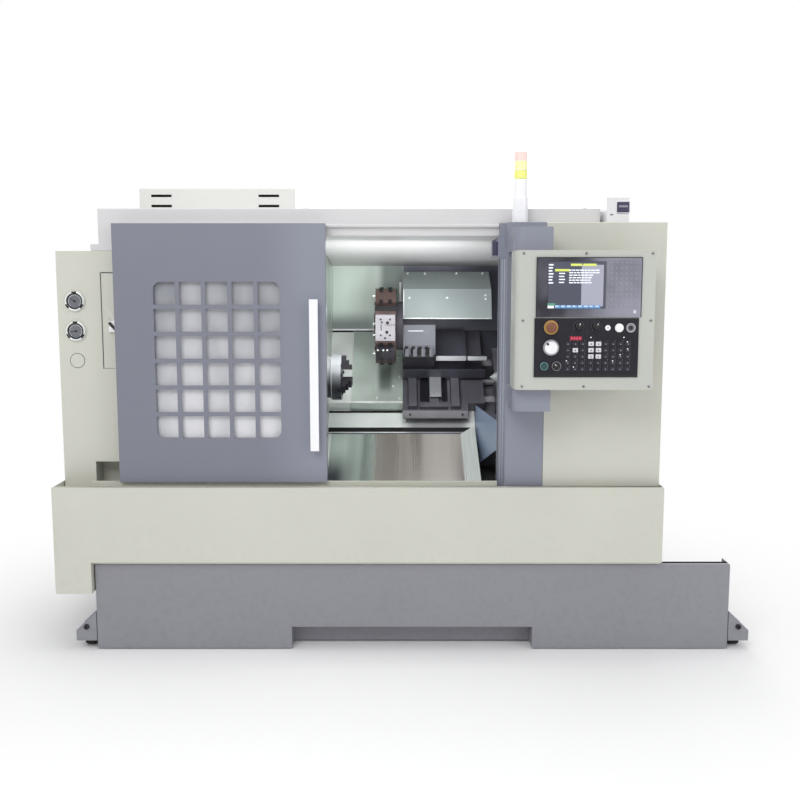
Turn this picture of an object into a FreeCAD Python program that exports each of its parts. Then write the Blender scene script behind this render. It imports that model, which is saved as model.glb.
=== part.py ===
"""Slant-bed turning lathe with its sheet-metal enclosure, operator panel and roll-out coolant tank.

Millimetres. X runs to the right along the spindle, Y to the back, Z up. The origin is on the floor,
under the middle of the machine's outer box.
"""
import FreeCAD, Part
import math
import os

# --------------------------------------------------------------------------- driving sizes
# Outer reach
half_length = 1440.0          # middle to the left end of the lower cover and the right caster bracket
enclosure_depth = 1130.0      # lower cover's face to the rear cover
control_reach = 230.0         # stop button's top in front of the lower cover
electrical_depth = 278.0
switch_reach = 22.0           # main switch's handle behind the electrical door
sheet = 3.0                   # enclosure sheet
inner_sheet = 2.0             # stainless sheet of the work area
run_gap = 0.3                 # clearance between faces that slide past each other
turn_gap = 0.05               # radial clearance of turning fits
round_sides = 24              # flats of round pieces that carry no fit, where they show
hidden_sides = 12             # and where they don't

# Lower front cover
skirt_bottom = 381.0
skirt_height = 314.0
skirt_length = 2500.0
leg_width = 150.0
leg_drop = 132.0
ledge_depth = 40.0
channel_drop = 40.0           # rail channel's floor below the ledge
flange_depth = 37.0
seal_width = 5.0

# Coolant tank
tank_setback = 30.0           # tank front behind the lower cover's face
tank_top_gap = 16.0
tank_side_gap = 6.0
tank_ground = 5.0
tank_sheet = 4.0
tank_ledge = 45.0
notch_left = -470.0
notch_right = 534.0
notch_top = 96.0
notch_depth = 95.0
trough_gap = 75.0             # between the trough's rear edge and the bed's foot
trough_top = 190.0
pump_radius = 65.0
pump_height = 160.0

# Casters of the tank
bracket_width = 88.0
bracket_low = 37.0
bracket_high = 166.0
bracket_shoulder = 82.0
bracket_span = 104.0
bracket_plate = 5.0
wheel_radius = 26.0
wheel_width = 40.0
caster_trail = 12.0
fork_cheek = 3.0
axle_radius = 4.0
fork_room = 8.0               # between the wheels and the bracket's plate

# Enclosure planes, as depths behind the lower cover's face
cabinet_setback = 60.0        # sliding door, column and right cabinet
cover_setback = 140.0         # headstock cover and roof hood

# Headstock cover
cover_inset = 8.0
cover_height = 1000.0         # over the rail channel
recess_inset = 134.0
recess_height = 123.0
recess_depth = 100.0
access_inset = 180.0
access_width = 450.0
access_height = 398.0
access_drop = 87.0            # under the cover's top
access_gap = 3.0
access_lip = 12.0
latch_width = 60.0
latch_height = 95.0
gauge_inset = 74.0
gauge_drop = 205.0            # top gauge under the cover's top
gauge_pitch = 123.0
gauge_radius = 43.0
gauge_depth = 14.0
cap_radius = 31.0
bar_hole_radius = 45.0

# Roof hood
hood_inset = 178.0
hood_right = 800.0
hood_height = 171.0           # over the headstock cover
step_width = 34.0
step_height = 28.0
header_height = 110.0
ceiling_fall = 106.0          # from the header's lower edge to the back

# Right-hand cabinet, column and door post
cabinet_drop = 60.0           # its top under the hood's
cabinet_inset = 6.0
column_left = 414.0
column_right = 570.0
post_width = 28.0
post_step = 64.0
interlock_width = 30.0
interlock_height = 88.0
interlock_chamfer = 22.0
interlock_depth = 18.0

# Roof unit and signal tower
roof_unit_left = 817.0
roof_unit_width = 91.0
roof_unit_height = 102.0
roof_unit_length = 700.0
roof_unit_setback = 40.0
tower_x = 474.0
tower_setback = 42.0
tower_radius = 28.0
tower_height = 280.0
tower_lens_height = 108.0
tower_foot_radius = 33.0
tower_foot_height = 106.0
tower_foot_shift = 8.0

# Work area
work_left = -365.0
work_right = 720.0
back_wall_gap = 32.0          # between the back sheet's face and the rear cover's

# Sliding door, shown open
door_width = 856.0
door_right = -320.0
door_lift = 51.0             # over the rail channel
door_drop = 4.0              # under the cabinet's top
door_thickness = 60.0
window_columns = 5
window_rows = 6
window_left_margin = 160.0
window_bottom_margin = 184.0
window_cell_x = 87.8
window_cell_z = 91.5
window_bar = 18.0
window_corner = 32.0
glass_thickness = 8.0
glass_setback = 24.0
glass_lap = 14.0
handle_inset = 45.0           # handle's middle from the door's leading edge
handle_width = 35.0
handle_length = 615.0
handle_low = 138.0
handle_thickness = 12.0
handle_standoff = 32.0
rail_width = 12.0
upper_rail_height = 12.0

# Spindle line and slanted bed
spindle_to_wall = 548.0       # spindle line in front of the back sheet
spindle_lift = 441.0          # over the rail channel's floor
bed_angle = 45.0
bed_drop = 320.0              # bed face below the spindle line, square to the slope
bed_low = -200.0
bed_high = 380.0
bed_left = -900.0
bed_right = 705.0
bed_wall = 45.0
bed_back_gap = 10.0
bed_foot_z = 60.0
foot_radius = 45.0
foot_pad = 15.0
foot_stud = 18.0
foot_inset = 24.0
rail_low = 100.0
rail_high = 330.0
way_width = 34.0
way_height = 28.0
way_left = -400.0

# Headstock, spindle, chuck
head_right = -420.0
head_low = -150.0
head_high = 200.0
head_top = 150.0
head_chamfer = 45.0
motor_length = 220.0
motor_radius = 150.0
motor_clear = 18.0            # between the spindle and the motor's bore
spindle_radius = 70.0
spindle_bore = 26.0
flange_radius = 96.0
flange_left = -380.0
flange_right = -355.0
cylinder_length = 150.0
cylinder_radius = 92.0
chuck_hub_radius = 96.5
chuck_hub_length = 24.0
chuck_radius = 105.0
chuck_length = 46.0
jaw_width = 36.0
jaw_height = 47.0
jaw_inner = 36.0
jaw_outer = 99.0
jaw_slot_width = 20.0
jaw_slot_depth = 18.0

# Saddle, cross slide and way covers
saddle_left = -4.0
saddle_right = 311.0
saddle_low = 8.0
saddle_high = 440.0
saddle_thickness = 33.0
saddle_skirt = 8.0
block_reach = 40.0
block_lift = 6.0
x_rail_width = 46.0
x_rail_height = 25.0
x_rail_left = 43.0
x_rail_right = 249.0
screw_cover_left = 120.0
screw_cover_width = 50.0
screw_cover_top = 20.0
slide_low = 190.0
slide_high = 470.0
slide_thickness = 35.0
slide_lip = 60.0
slide_lip_right = 398.0
cover_low = 46.0
cover_section = 150.0
cover_step = 2.3
right_cover = 80.0
screw_radius = 16.0
screw_u = 215.0
bearing_half = 24.0
motor_side = 110.0
motor_reach = 190.0

# Turret
turret_u = 320.0
turret_left = -133.0
turret_width = 96.0
turret_flats = 350.0
turret_stations = 8
tool_slot_width = 32.0
tool_slot_depth = 22.0
neck_radius = 115.0
neck_length = 33.0
turret_shaft = 50.0
housing_length = 154.0
housing_low = 200.0
housing_high = 440.0
housing_top = 36.0
box_back = 150.0              # manifold box's front behind the spindle line
box_depth = 90.0
box_lift = 81.0               # its bottom over the spindle line
box_height = 151.0
gland_radius = 11.0
gland_height = 38.0
gland_count = 4
holder_height = 119.0
holder_depth = 62.0
holder_bore = 16.0
guard_right = 421.0
guard_low_back = 200.0        # bends of the guard, behind and over the spindle line
guard_low_lift = 259.0
guard_mid_back = 250.0
guard_mid_lift = 401.0
guard_high_back = 400.0
guard_high_lift = 486.0

# Tailstock
tail_left = 445.0
tail_length = 195.0
tail_low = -70.0
tail_high = 130.0
tail_top = 75.0
tail_base_low = 30.0
tail_base_high = 390.0
tail_base_height = 52.0
quill_radius = 40.0
collar_radius = 62.0
collar_width = 14.0
centre_radius = 27.0
centre_tip = 395.0
centre_cone = 30.0
centre_seat = 98.0            # depth of its seat in the quill

# Stainless panels of the work area
chute_top_back = 100.0        # chute's upper edge behind and under the spindle line
chute_top_drop = 281.0
chute_low_setback = 30.0      # its lower edge behind the headstock cover's face
chute_low_drop = 492.0
chute_flat_right = 268.0
chute_side_width = 66.0
chute_side_rise = 42.0
apron_low = -85.0
apron_right = 345.0
tail_guard_back = 122.0       # guard's rear edge behind the spindle line
tail_guard_left = 340.0
tail_guard_drop = 402.0
tail_guard_height = 256.0
tail_guard_foot = 122.0
tail_guard_rise = 142.0

# Operator panel and its brackets
panel_left = 418.0
panel_width = 526.0
panel_height = 527.0
panel_drop = 120.0            # under the cabinet's top
panel_reach = 200.0           # panel front in front of the lower cover
panel_depth = 150.0
panel_corner = 26.0
bracket_arm_width = 146.0
bracket_arm_height = 90.0
bracket_arm_reach = 150.0     # arm's front, in front of the lower cover
pivot_inset = 74.0
pivot_setback = 78.0          # pivot axis behind the panel's front
pivot_radius = 14.0
pivot_length = 22.0
display_inset = 76.0
display_width = 398.0
display_drop = 26.0
display_height = 224.0
board_inset = 72.0
board_width = 394.0
board_lift = 49.0             # over the panel's lower edge
board_height = 224.0
face_plate = 5.0
control_lift = 189.0          # controls over the board's lower edge and right of its left edge
override_lift = 194.0
dial_lift = 113.0
low_row_lift = 42.0
stop_inset = 62.0
dial_inset = 63.0
feed_inset = 167.0
speed_inset = 233.0
start_inset = 39.0
mode_inset = 86.0
stop_radius = 20.0
stop_head = 9.0
stop_collar = 28.0
stop_stem = 16.0
ring_height = 4.0
dial_radius = 31.0
dial_height = 14.0
spinner_radius = 5.0
spinner_height = 6.0
knob_radius = 15.0
knob_height = 17.0
knob_shaft = 4.0
button_radius = 11.0
button_height = 9.0
button_stem = 12.0
button_travel = 3.0

# Electrical cabinet at the back
electrical_inset = 87.0
electrical_width = 795.0
electrical_bottom = 420.0
electrical_rise = 177.0       # its top over the hood's
vent_width = 104.0
vent_height = 12.0
vent_inset = 59.0
vent_first = 30.0
vent_pitch = 51.0
module_columns = 4
electrical_door_gap = 2.0
hinge_radius = 8.0
switch_radius = 26.0
switch_shaft = 6.0
switch_drop = 503.0
louvre_rows = 7
louvre_pitch = 42.0
louvre_width = 300.0

# --------------------------------------------------------------------------- planes and places
half_depth = (control_reach + enclosure_depth + electrical_depth + switch_reach) / 2
front_y = control_reach - half_depth
cabinet_y = front_y + cabinet_setback
cover_y = front_y + cover_setback
enclosure_back = front_y + enclosure_depth
electrical_face = enclosure_back + electrical_depth
back_wall_y = enclosure_back - back_wall_gap
spindle_y = back_wall_y - spindle_to_wall
slope_cos = math.cos(math.radians(bed_angle))
slope_sin = math.sin(math.radians(bed_angle))
bed_front_y = spindle_y + bed_low * slope_cos + bed_drop * slope_sin

skirt_top = skirt_bottom + skirt_height
leg_bottom = skirt_bottom - leg_drop
channel_floor = skirt_top - channel_drop
cover_top = channel_floor + cover_height
hood_top = cover_top + hood_height
header_bottom = hood_top - header_height
ceiling_back = header_bottom - ceiling_fall
cabinet_top = hood_top - cabinet_drop
door_bottom = channel_floor + door_lift
door_top = cabinet_top - door_drop
spindle_z = channel_floor + spindle_lift
recess_top = channel_floor + recess_height
access_top = cover_top - access_drop
access_bottom = access_top - access_height
panel_top = cabinet_top - panel_drop
panel_bottom = panel_top - panel_height
display_bottom = panel_top - display_drop - display_height
board_bottom = panel_bottom + board_lift
electrical_top = hood_top + electrical_rise
switch_z = electrical_top - switch_drop

leg_right = leg_width - half_length
skirt_right = skirt_length - half_length
cabinet_right = skirt_right - cabinet_inset
cover_left = cover_inset - half_length
recess_left = cover_left + recess_inset
access_left = cover_left + access_inset
gauge_x = cover_left + gauge_inset
hood_left = cover_left + hood_inset
electrical_left = cover_left + electrical_inset
electrical_right = electrical_left + electrical_width
post_left = column_left - post_width
post_y = cabinet_y + post_step
door_left = door_right - door_width
door_back = cabinet_y + door_thickness
handle_x = door_right - handle_inset

tank_left = leg_right + tank_side_gap
tank_right = half_length - bracket_width
tank_front = front_y + tank_setback
tank_top = skirt_bottom - tank_top_gap
recess_wall_y = tank_front + notch_depth
trough_back = bed_front_y - trough_gap
wheel_front_y = tank_front + bracket_span / 2
wheel_back_y = trough_back - bracket_span / 2
caster_left_x = tank_left - bracket_width / 2
caster_right_x = tank_right + bracket_width / 2
caster_plate_z = 2 * wheel_radius + fork_room

chuck_face = flange_right + chuck_hub_length + chuck_length
turret_right = turret_left + turret_width
housing_left = turret_right + neck_length
cover_v = -bed_drop + way_height + saddle_thickness + block_lift - inner_sheet

panel_right = panel_left + panel_width
panel_front = front_y - panel_reach
panel_back = panel_front + panel_depth
pivot_x = panel_left + pivot_inset
pivot_y = panel_front + pivot_setback
display_left = panel_left + display_inset
board_left = panel_left + board_inset
board_face = panel_front - face_plate
stop_x = board_left + stop_inset
stop_z = board_bottom + control_lift
wheel_x = board_left + dial_inset
wheel_z = board_bottom + dial_lift
feed_x = board_left + feed_inset
speed_x = board_left + speed_inset
override_z = board_bottom + override_lift
start_x = board_left + start_inset
mode_x = board_left + mode_inset
low_row_z = board_bottom + low_row_lift


# --------------------------------------------------------------------------- drawing helpers
def at(x, y, z):
    return FreeCAD.Vector(x, y, z)


def block(x, y, z):
    """Box between three (low, high) pairs."""
    return Part.makeBox(x[1] - x[0], y[1] - y[0], z[1] - z[0], at(x[0], y[0], z[0]))


def prism(corners, sweep):
    """Closed outline of 3-D corners, swept along a vector."""
    return Part.Face(Part.makePolygon(corners + corners[:1])).extrude(sweep)


def prism_x(outline, x):
    """Outline of (y, z) pairs between two X planes."""
    return prism([at(x[0], y, z) for y, z in outline], at(x[1] - x[0], 0, 0))


def prism_y(outline, y):
    """Outline of (x, z) pairs between two Y planes."""
    return prism([at(x, y[0], z) for x, z in outline], at(0, y[1] - y[0], 0))


def prism_z(outline, z):
    """Outline of (x, y) pairs between two Z planes."""
    return prism([at(x, y, z[0]) for x, y in outline], at(0, 0, z[1] - z[0]))


def polygon(a, b, radius, sides):
    """Corners of an even polygon with one flat to the front."""
    turn = 2 * math.pi / sides
    angles = [turn * (i + 0.5) for i in range(sides)]
    return [(a + radius * math.cos(t), b + radius * math.sin(t)) for t in angles]


def rod_x(y, z, radius, x):
    return Part.makeCylinder(radius, x[1] - x[0], at(x[0], y, z), at(1, 0, 0))


def rod_y(x, z, radius, y):
    return Part.makeCylinder(radius, y[1] - y[0], at(x, y[0], z), at(0, 1, 0))


def rod_z(x, y, radius, z):
    return Part.makeCylinder(radius, z[1] - z[0], at(x, y, z[0]), at(0, 0, 1))


def pillar_x(y, z, radius, sides, x):
    """Many-sided bar along X, for round pieces that carry no fit."""
    return prism_x(polygon(y, z, radius, sides), x)


def pillar_y(x, z, radius, sides, y):
    return prism_y(polygon(x, z, radius, sides), y)


def pillar_z(x, y, radius, sides, z):
    return prism_z(polygon(x, y, radius, sides), z)


def slope(u, v):
    """(y, z) of a point u up the slope and v off it, counted from the spindle line."""
    return (spindle_y + u * slope_cos - v * slope_sin, spindle_z + u * slope_sin + v * slope_cos)


def slope_block(x, u, v):
    """Box lying on the slope."""
    return prism_x([slope(u[0], v[0]), slope(u[1], v[0]), slope(u[1], v[1]), slope(u[0], v[1])], x)


def joined(first, *others):
    return first.fuse(list(others)).removeSplitter()


def round_edges(shape, radius, chosen):
    """Fillets the straight edges that the test picks by their two end points."""
    edges = [e for e in shape.Edges if len(e.Vertexes) == 2 and chosen(*[v.Point for v in e.Vertexes])]
    return shape.makeFillet(radius, edges)


def upright(a, b):
    return abs(a.x - b.x) < 0.01 and abs(a.y - b.y) < 0.01


def along_y(a, b):
    return abs(a.x - b.x) < 0.01 and abs(a.z - b.z) < 0.01


# --------------------------------------------------------------------------- base
def bed_casting():
    low = slope(bed_low, -bed_drop)
    high = slope(bed_high, -bed_drop)
    back = back_wall_y - bed_back_gap
    outline = [(low[0], bed_foot_z), low, high, (back, high[1]), (back, bed_foot_z)]
    shape = prism_x(outline, (bed_left, bed_right))
    bays = 3
    pitch = (bed_right - bed_left - bed_wall) / bays
    for bay in range(bays):
        x = bed_left + bed_wall + bay * pitch
        shape = shape.cut(block((x, x + pitch - bed_wall), (low[0] + bed_wall, back - bed_wall),
                                (bed_foot_z, low[1] - bed_wall)))
    return shape


def foot_places():
    low = slope(bed_low, -bed_drop)
    back = back_wall_y - bed_back_gap
    middle = (bed_left + bed_right) / 2
    for x in (bed_left + foot_inset + foot_radius, middle, bed_right - foot_inset - foot_radius):
        for y in (low[0] + foot_inset, back - foot_inset):
            yield x, y


def levelling_feet():
    feet = []
    for x, y in foot_places():
        feet.append(pillar_z(x, y, foot_radius, hidden_sides, (0, foot_pad)))
        feet.append(pillar_z(x, y, foot_stud, 6, (foot_pad, bed_foot_z)))
    return Part.makeCompound(feet)


def bed_rails():
    v = (-bed_drop, way_height - bed_drop)
    half = way_width / 2
    return Part.makeCompound([slope_block((way_left, bed_right), (u - half, u + half), v)
                              for u in (rail_low, rail_high)])


def headstock():
    u = (head_low, head_high)
    v = (-bed_drop, head_top)
    c = head_chamfer
    outline = [slope(u[0], v[0]), slope(u[1], v[0]), slope(u[1], v[1] - c), slope(u[1] - c, v[1]),
               slope(u[0] + c, v[1]), slope(u[0], v[1] - c)]
    shape = prism_x(outline, (bed_left, head_right))
    nose_x = (head_right, head_right + spindle_bore)
    nose = pillar_x(spindle_y, spindle_z, flange_radius, hidden_sides, nose_x)
    bore = rod_x(spindle_y, spindle_z, spindle_radius + turn_gap, (bed_left, work_left))
    return joined(shape, nose).cut(bore)


def spindle_motor():
    x = (bed_left - motor_length, bed_left)
    jacket = pillar_x(spindle_y, spindle_z, motor_radius, hidden_sides, x)
    terminal = block((x[0] + foot_radius, x[1] - foot_radius),
                     (spindle_y - foot_radius, spindle_y + foot_radius),
                     (spindle_z, spindle_z + motor_radius + foot_radius))
    bore = pillar_x(spindle_y, spindle_z, spindle_radius + motor_clear, hidden_sides, x)
    return joined(jacket, terminal).cut(bore)


def z_drive():
    """Bearing block of the long ball screw and its servo motor, at the right end of the bed."""
    y, z = slope(screw_u, screw_v())
    half = motor_side / 2
    x = (bed_right - bed_wall, bed_right)
    bearing = slope_block(x, (screw_u - bearing_half, screw_u + bearing_half),
                          (-bed_drop, screw_v() + bearing_half))
    tube = pillar_x(y, z, bearing_half, hidden_sides, (bed_right, work_right + run_gap))
    motor_x = (work_right + run_gap, work_right + run_gap + motor_reach)
    motor = slope_block(motor_x, (screw_u - half, screw_u + half), (screw_v() - half, screw_v() + half))
    return Part.makeCompound([bearing.cut(rod_x(y, z, screw_radius + turn_gap, x)), tube, motor])


def screw_v():
    return -bed_drop + way_height / 2 + screw_radius / 2


# --------------------------------------------------------------------------- enclosure
def lower_front_cover():
    y0 = front_y
    outline = [(-half_length, leg_bottom), (leg_right, leg_bottom), (leg_right, skirt_bottom),
               (skirt_right, skirt_bottom), (skirt_right, skirt_top), (-half_length, skirt_top)]
    front = prism_y(outline, (y0, y0 + sheet))
    ledge = block((-half_length, skirt_right), (y0, y0 + ledge_depth), (skirt_top - sheet, skirt_top))
    lip = block((-half_length, skirt_right), (y0 + ledge_depth - sheet, y0 + ledge_depth),
                (channel_floor, skirt_top))
    channel = block((sheet - half_length, post_left), (y0 + ledge_depth - sheet, cover_y + sheet),
                    (channel_floor - sheet, channel_floor))
    flange = block((leg_right - sheet, skirt_right), (y0, y0 + flange_depth),
                   (skirt_bottom, skirt_bottom + sheet))
    seal = block((leg_right, skirt_right), (y0 + flange_depth - seal_width, y0 + flange_depth),
                 (tank_top + run_gap, skirt_bottom))
    leg_side = block((leg_right - sheet, leg_right), (y0, cover_y), (leg_bottom, skirt_bottom))
    side = [(y0, leg_bottom), (cover_y, leg_bottom), (cover_y, skirt_bottom), (enclosure_back, skirt_bottom),
            (enclosure_back, skirt_top), (y0, skirt_top)]
    left = prism_x(side, (-half_length, sheet - half_length))
    right = block((skirt_right - sheet, skirt_right), (y0, enclosure_back), (skirt_bottom, skirt_top))
    rail_y = (cabinet_y + door_back - rail_width) / 2
    rail = block((recess_left, post_left), (rail_y, rail_y + rail_width), (channel_floor, door_bottom - run_gap))
    return joined(front, ledge, lip, channel, flange, seal, leg_side, left, right, rail)


def gauge_heights():
    return [cover_top - gauge_drop - i * gauge_pitch for i in range(3)]


def left_cover():
    """Front, left side and top of the headstock's cover, with the access opening and the gauge holes."""
    outline = [(cover_left, channel_floor), (recess_left, channel_floor), (recess_left, recess_top),
               (work_left, recess_top), (work_left, cover_top), (cover_left, cover_top)]
    front = prism_y(outline, (cover_y, cover_y + sheet))
    frame = block((access_left - access_lip, access_left + access_width + access_lip),
                  (cover_y + sheet, cover_y + 2 * sheet),
                  (access_bottom - access_lip, access_top + access_lip))
    frame = frame.cut(block((access_left + access_lip, access_left + access_width - access_lip),
                            (cover_y, cover_y + 3 * sheet),
                            (access_bottom + access_lip, access_top - access_lip)))
    opening = block((access_left, access_left + access_width), (cover_y, cover_y + sheet),
                    (access_bottom, access_top))
    side = block((cover_left, cover_left + sheet), (cover_y, enclosure_back), (channel_floor, cover_top))
    top = block((cover_left, work_left), (cover_y, enclosure_back), (cover_top - sheet, cover_top))
    back = cover_y + recess_depth
    end = work_left - inner_sheet
    recess = block((recess_left - sheet, end), (cover_y, back), (channel_floor, recess_top + sheet))
    recess = recess.cut(block((recess_left, end), (cover_y, back - sheet), (channel_floor, recess_top)))
    shape = joined(front.cut(opening), frame, side, top, recess)
    for z in gauge_heights()[:2]:
        hole = pillar_y(gauge_x, z, gauge_radius - sheet * 2, hidden_sides, (cover_y, cover_y + sheet))
        shape = shape.cut(hole)
    bar_hole = pillar_x(spindle_y, spindle_z, bar_hole_radius, hidden_sides, (cover_left, cover_left + sheet))
    return shape.cut(bar_hole)


def access_door():
    gap = access_gap
    plate = block((access_left + gap, access_left + access_width - gap), (cover_y, cover_y + sheet),
                  (access_bottom + gap, access_top - gap))
    x = access_left + latch_width / 2
    z = (access_bottom + access_top) / 2 - latch_height / 2
    latch = block((x, x + latch_width), (cover_y - 2 * sheet, cover_y), (z, z + latch_height))
    grip = block((x + sheet, x + latch_width / 2), (cover_y - 4 * sheet, cover_y - sheet),
                 (z + sheet, z + latch_height / 2))
    return joined(plate, latch, grip)


def pressure_gauges():
    """Two flanged gauges and the blank cap under them."""
    pieces = []
    for z in gauge_heights()[:2]:
        pieces.append(pillar_y(gauge_x, z, gauge_radius, round_sides, (cover_y - gauge_depth, cover_y)))
    cap_y = (cover_y - sheet / 2, cover_y)
    pieces.append(pillar_y(gauge_x, gauge_heights()[2], cap_radius, round_sides, cap_y))
    return Part.makeCompound(pieces)


def roof_hood():
    """Hollow roof in three stretches: over the headstock, over the work area and over the cabinet."""
    y = (cover_y, enclosure_back)
    w = sheet
    shape = block((hood_left, work_left), y, (cover_top, hood_top))
    shape = shape.cut(block((hood_left + w, work_left - w), (y[0] + w, y[1] - w),
                            (cover_top + w, hood_top - w)))
    over_work = [(y[0], header_bottom), (y[0], hood_top), (y[1], hood_top), (y[1], ceiling_back)]
    inside = [(y[0] + w, header_bottom + w), (y[0] + w, hood_top - w), (y[1] - w, hood_top - w),
              (y[1] - w, ceiling_back + w)]
    middle = prism_x(over_work, (work_left, column_right))
    middle = middle.cut(prism_x(inside, (work_left + w, column_right - w)))
    right = block((column_right, hood_right), y, (cabinet_top, hood_top))
    right = right.cut(block((column_right, hood_right - w), (y[0] + w, y[1] - w),
                            (cabinet_top + w, hood_top - w)))
    step = block((hood_left - step_width, hood_left), y, (cover_top, cover_top + step_height))
    rail = block((door_left, post_left), (door_back + run_gap, cover_y),
                 (door_top - upper_rail_height, door_top))
    return joined(shape, middle, right, step, rail)


def rear_cover():
    y = (enclosure_back - sheet, enclosure_back)
    left = cover_left + sheet
    right = skirt_right - sheet
    outline = [(left, skirt_bottom), (right, skirt_bottom), (right, channel_floor),
               (column_right, channel_floor), (column_right, ceiling_back),
               (work_left, ceiling_back), (work_left, cover_top - sheet),
               (left, cover_top - sheet)]
    plate = prism_y(outline, y)
    cuts = []
    x = (electrical_right + work_right - louvre_width) / 2
    for row in range(louvre_rows):
        z = skirt_top + row * louvre_pitch
        cuts.append(block((x, x + louvre_width), y, (z, z + vent_height)))
    return plate.cut(Part.makeCompound(cuts))


def right_cabinet():
    x = (column_right, cabinet_right)
    y = (cabinet_y, enclosure_back)
    z = (channel_floor, cabinet_top)
    w = sheet
    return block(x, y, z).cut(block((x[0], x[1] - w), (y[0] + w, y[1] - w), (z[0], z[1] - w)))


def door_post():
    """Grey column, the post that the door closes against, and the interlock's bracket."""
    w = sheet
    z = (channel_floor, cabinet_top)
    front = block((column_left, column_right), (cabinet_y, cabinet_y + w), z)
    side = block((column_left, column_left + w), (cabinet_y, post_y), z)
    post = block((post_left, column_left + w), (post_y, post_y + w), z)
    lip = block((post_left, post_left + w), (post_y, cover_y), (z[0], header_bottom))
    top = block((column_left, column_right), (cabinet_y, cover_y), (z[1] - w, z[1]))
    left = post_left - interlock_width
    low = header_bottom - interlock_height
    c = interlock_chamfer
    box = prism_y([(left, low), (column_left, low), (column_left, header_bottom),
                   (left + 2 * c, header_bottom), (left, header_bottom - c)],
                  (cover_y - interlock_depth, cover_y))
    window = block((left + w, post_left - w), (cover_y - interlock_depth, cover_y - interlock_depth + w),
                   (low + 2 * w, header_bottom - c))
    return joined(front, side, post, lip, top, box).cut(window)


def roof_unit():
    y = (cabinet_y + roof_unit_setback, cabinet_y + roof_unit_setback + roof_unit_length)
    x = (roof_unit_left, roof_unit_left + roof_unit_width)
    z = (cabinet_top, cabinet_top + roof_unit_height)
    shape = block(x, y, z)
    window = block((x[0] + roof_unit_width / 2, x[1] - sheet * 2), (y[0], y[0] + sheet),
                   (z[0] + roof_unit_height * 0.35, z[1] - roof_unit_height * 0.2))
    panel = block((x[0], x[0] + sheet), (y[1] - roof_unit_length * 0.35, y[1] - sheet * 2),
                  (z[0] + sheet * 2, z[1] - sheet * 2))
    return shape.cut(window).cut(panel)


def signal_tower():
    """Foot, stem and the slightly narrower stack of three lenses."""
    y = cabinet_y + tower_setback
    z = cabinet_top
    lens_low = z + tower_height - tower_lens_height
    foot = pillar_z(tower_x - tower_foot_shift, y, tower_foot_radius, round_sides, (z, z + tower_foot_height))
    stem = pillar_z(tower_x, y, tower_radius, round_sides, (z + tower_foot_height, lens_low))
    lenses = pillar_z(tower_x, y, tower_radius - sheet, round_sides, (lens_low, z + tower_height))
    return Part.makeCompound([foot, stem, lenses])


def panel_brackets():
    """Two arms on the column that hold the operator panel's pivot, with rounded left front edges."""
    arms = []
    y = (front_y - bracket_arm_reach, cabinet_y)
    x = (panel_left, panel_left + bracket_arm_width)
    for z in ((panel_top + run_gap, panel_top + run_gap + bracket_arm_height),
              (panel_bottom - run_gap - bracket_arm_height, panel_bottom - run_gap)):
        arm = block(x, y, z)
        arm = round_edges(arm, panel_corner * 1.5,
                          lambda a, b: upright(a, b) and a.y < y[0] + 1 and a.x < x[0] + 1)
        arms.append(arm.cut(rod_z(pivot_x, pivot_y, pivot_radius + turn_gap,
                                  (z[0] if z[0] > panel_top else z[1] - pivot_length - run_gap,
                                   z[0] + pivot_length + run_gap if z[0] > panel_top else z[1]))))
    return Part.makeCompound(arms)


# --------------------------------------------------------------------------- work area panels
def inner_left_wall():
    """Left end sheet of the work area, cut out over the bed's ways and round the spindle's flange."""
    roof = cover_top - sheet
    meet = cover_y + (header_bottom - roof) / (header_bottom - ceiling_back) * (enclosure_back - cover_y)
    low = slope(bed_low, -bed_drop)
    under = cover_v - 2 * cover_step - inner_sheet
    way_u = rail_low - block_reach
    outline = [(cover_y + sheet, chute_low()), (cover_y + sheet, roof), (meet, roof),
               (back_wall_y, ceiling_at(back_wall_y)), (back_wall_y, slope(cover_top_u(), under)[1]),
               slope(cover_top_u() - 2 * inner_sheet, under), slope(way_u, under),
               slope(way_u, -bed_drop), low, (low[0], chute_low())]
    wall = prism_x(outline, (work_left - inner_sheet, work_left))
    return wall.cut(rod_x(spindle_y, spindle_z, chuck_radius, (work_left - inner_sheet, work_left)))


def ceiling_at(y):
    """Height of the sloping ceiling's underside at a depth."""
    share = (y - cover_y) / (enclosure_back - cover_y)
    return header_bottom + share * (ceiling_back - header_bottom)


def cover_top_u():
    """How far up the slope the way covers reach the back wall."""
    return (back_wall_y - spindle_y + cover_v * slope_sin) / slope_cos


def back_wall():
    """Back sheet and right end sheet of the work area, one folded piece."""
    low = slope(cover_top_u(), cover_v)[1]
    back = block((work_left, work_right), (back_wall_y, back_wall_y + inner_sheet),
                 (low, ceiling_at(back_wall_y + inner_sheet)))
    end = block((work_right - inner_sheet, work_right), (cabinet_y + sheet, back_wall_y + inner_sheet),
                (channel_floor, cabinet_top - sheet))
    y, z = slope(screw_u, screw_v())
    return joined(back, end).cut(rod_x(y, z, bearing_half + run_gap, (work_right - inner_sheet, work_right)))


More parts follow.
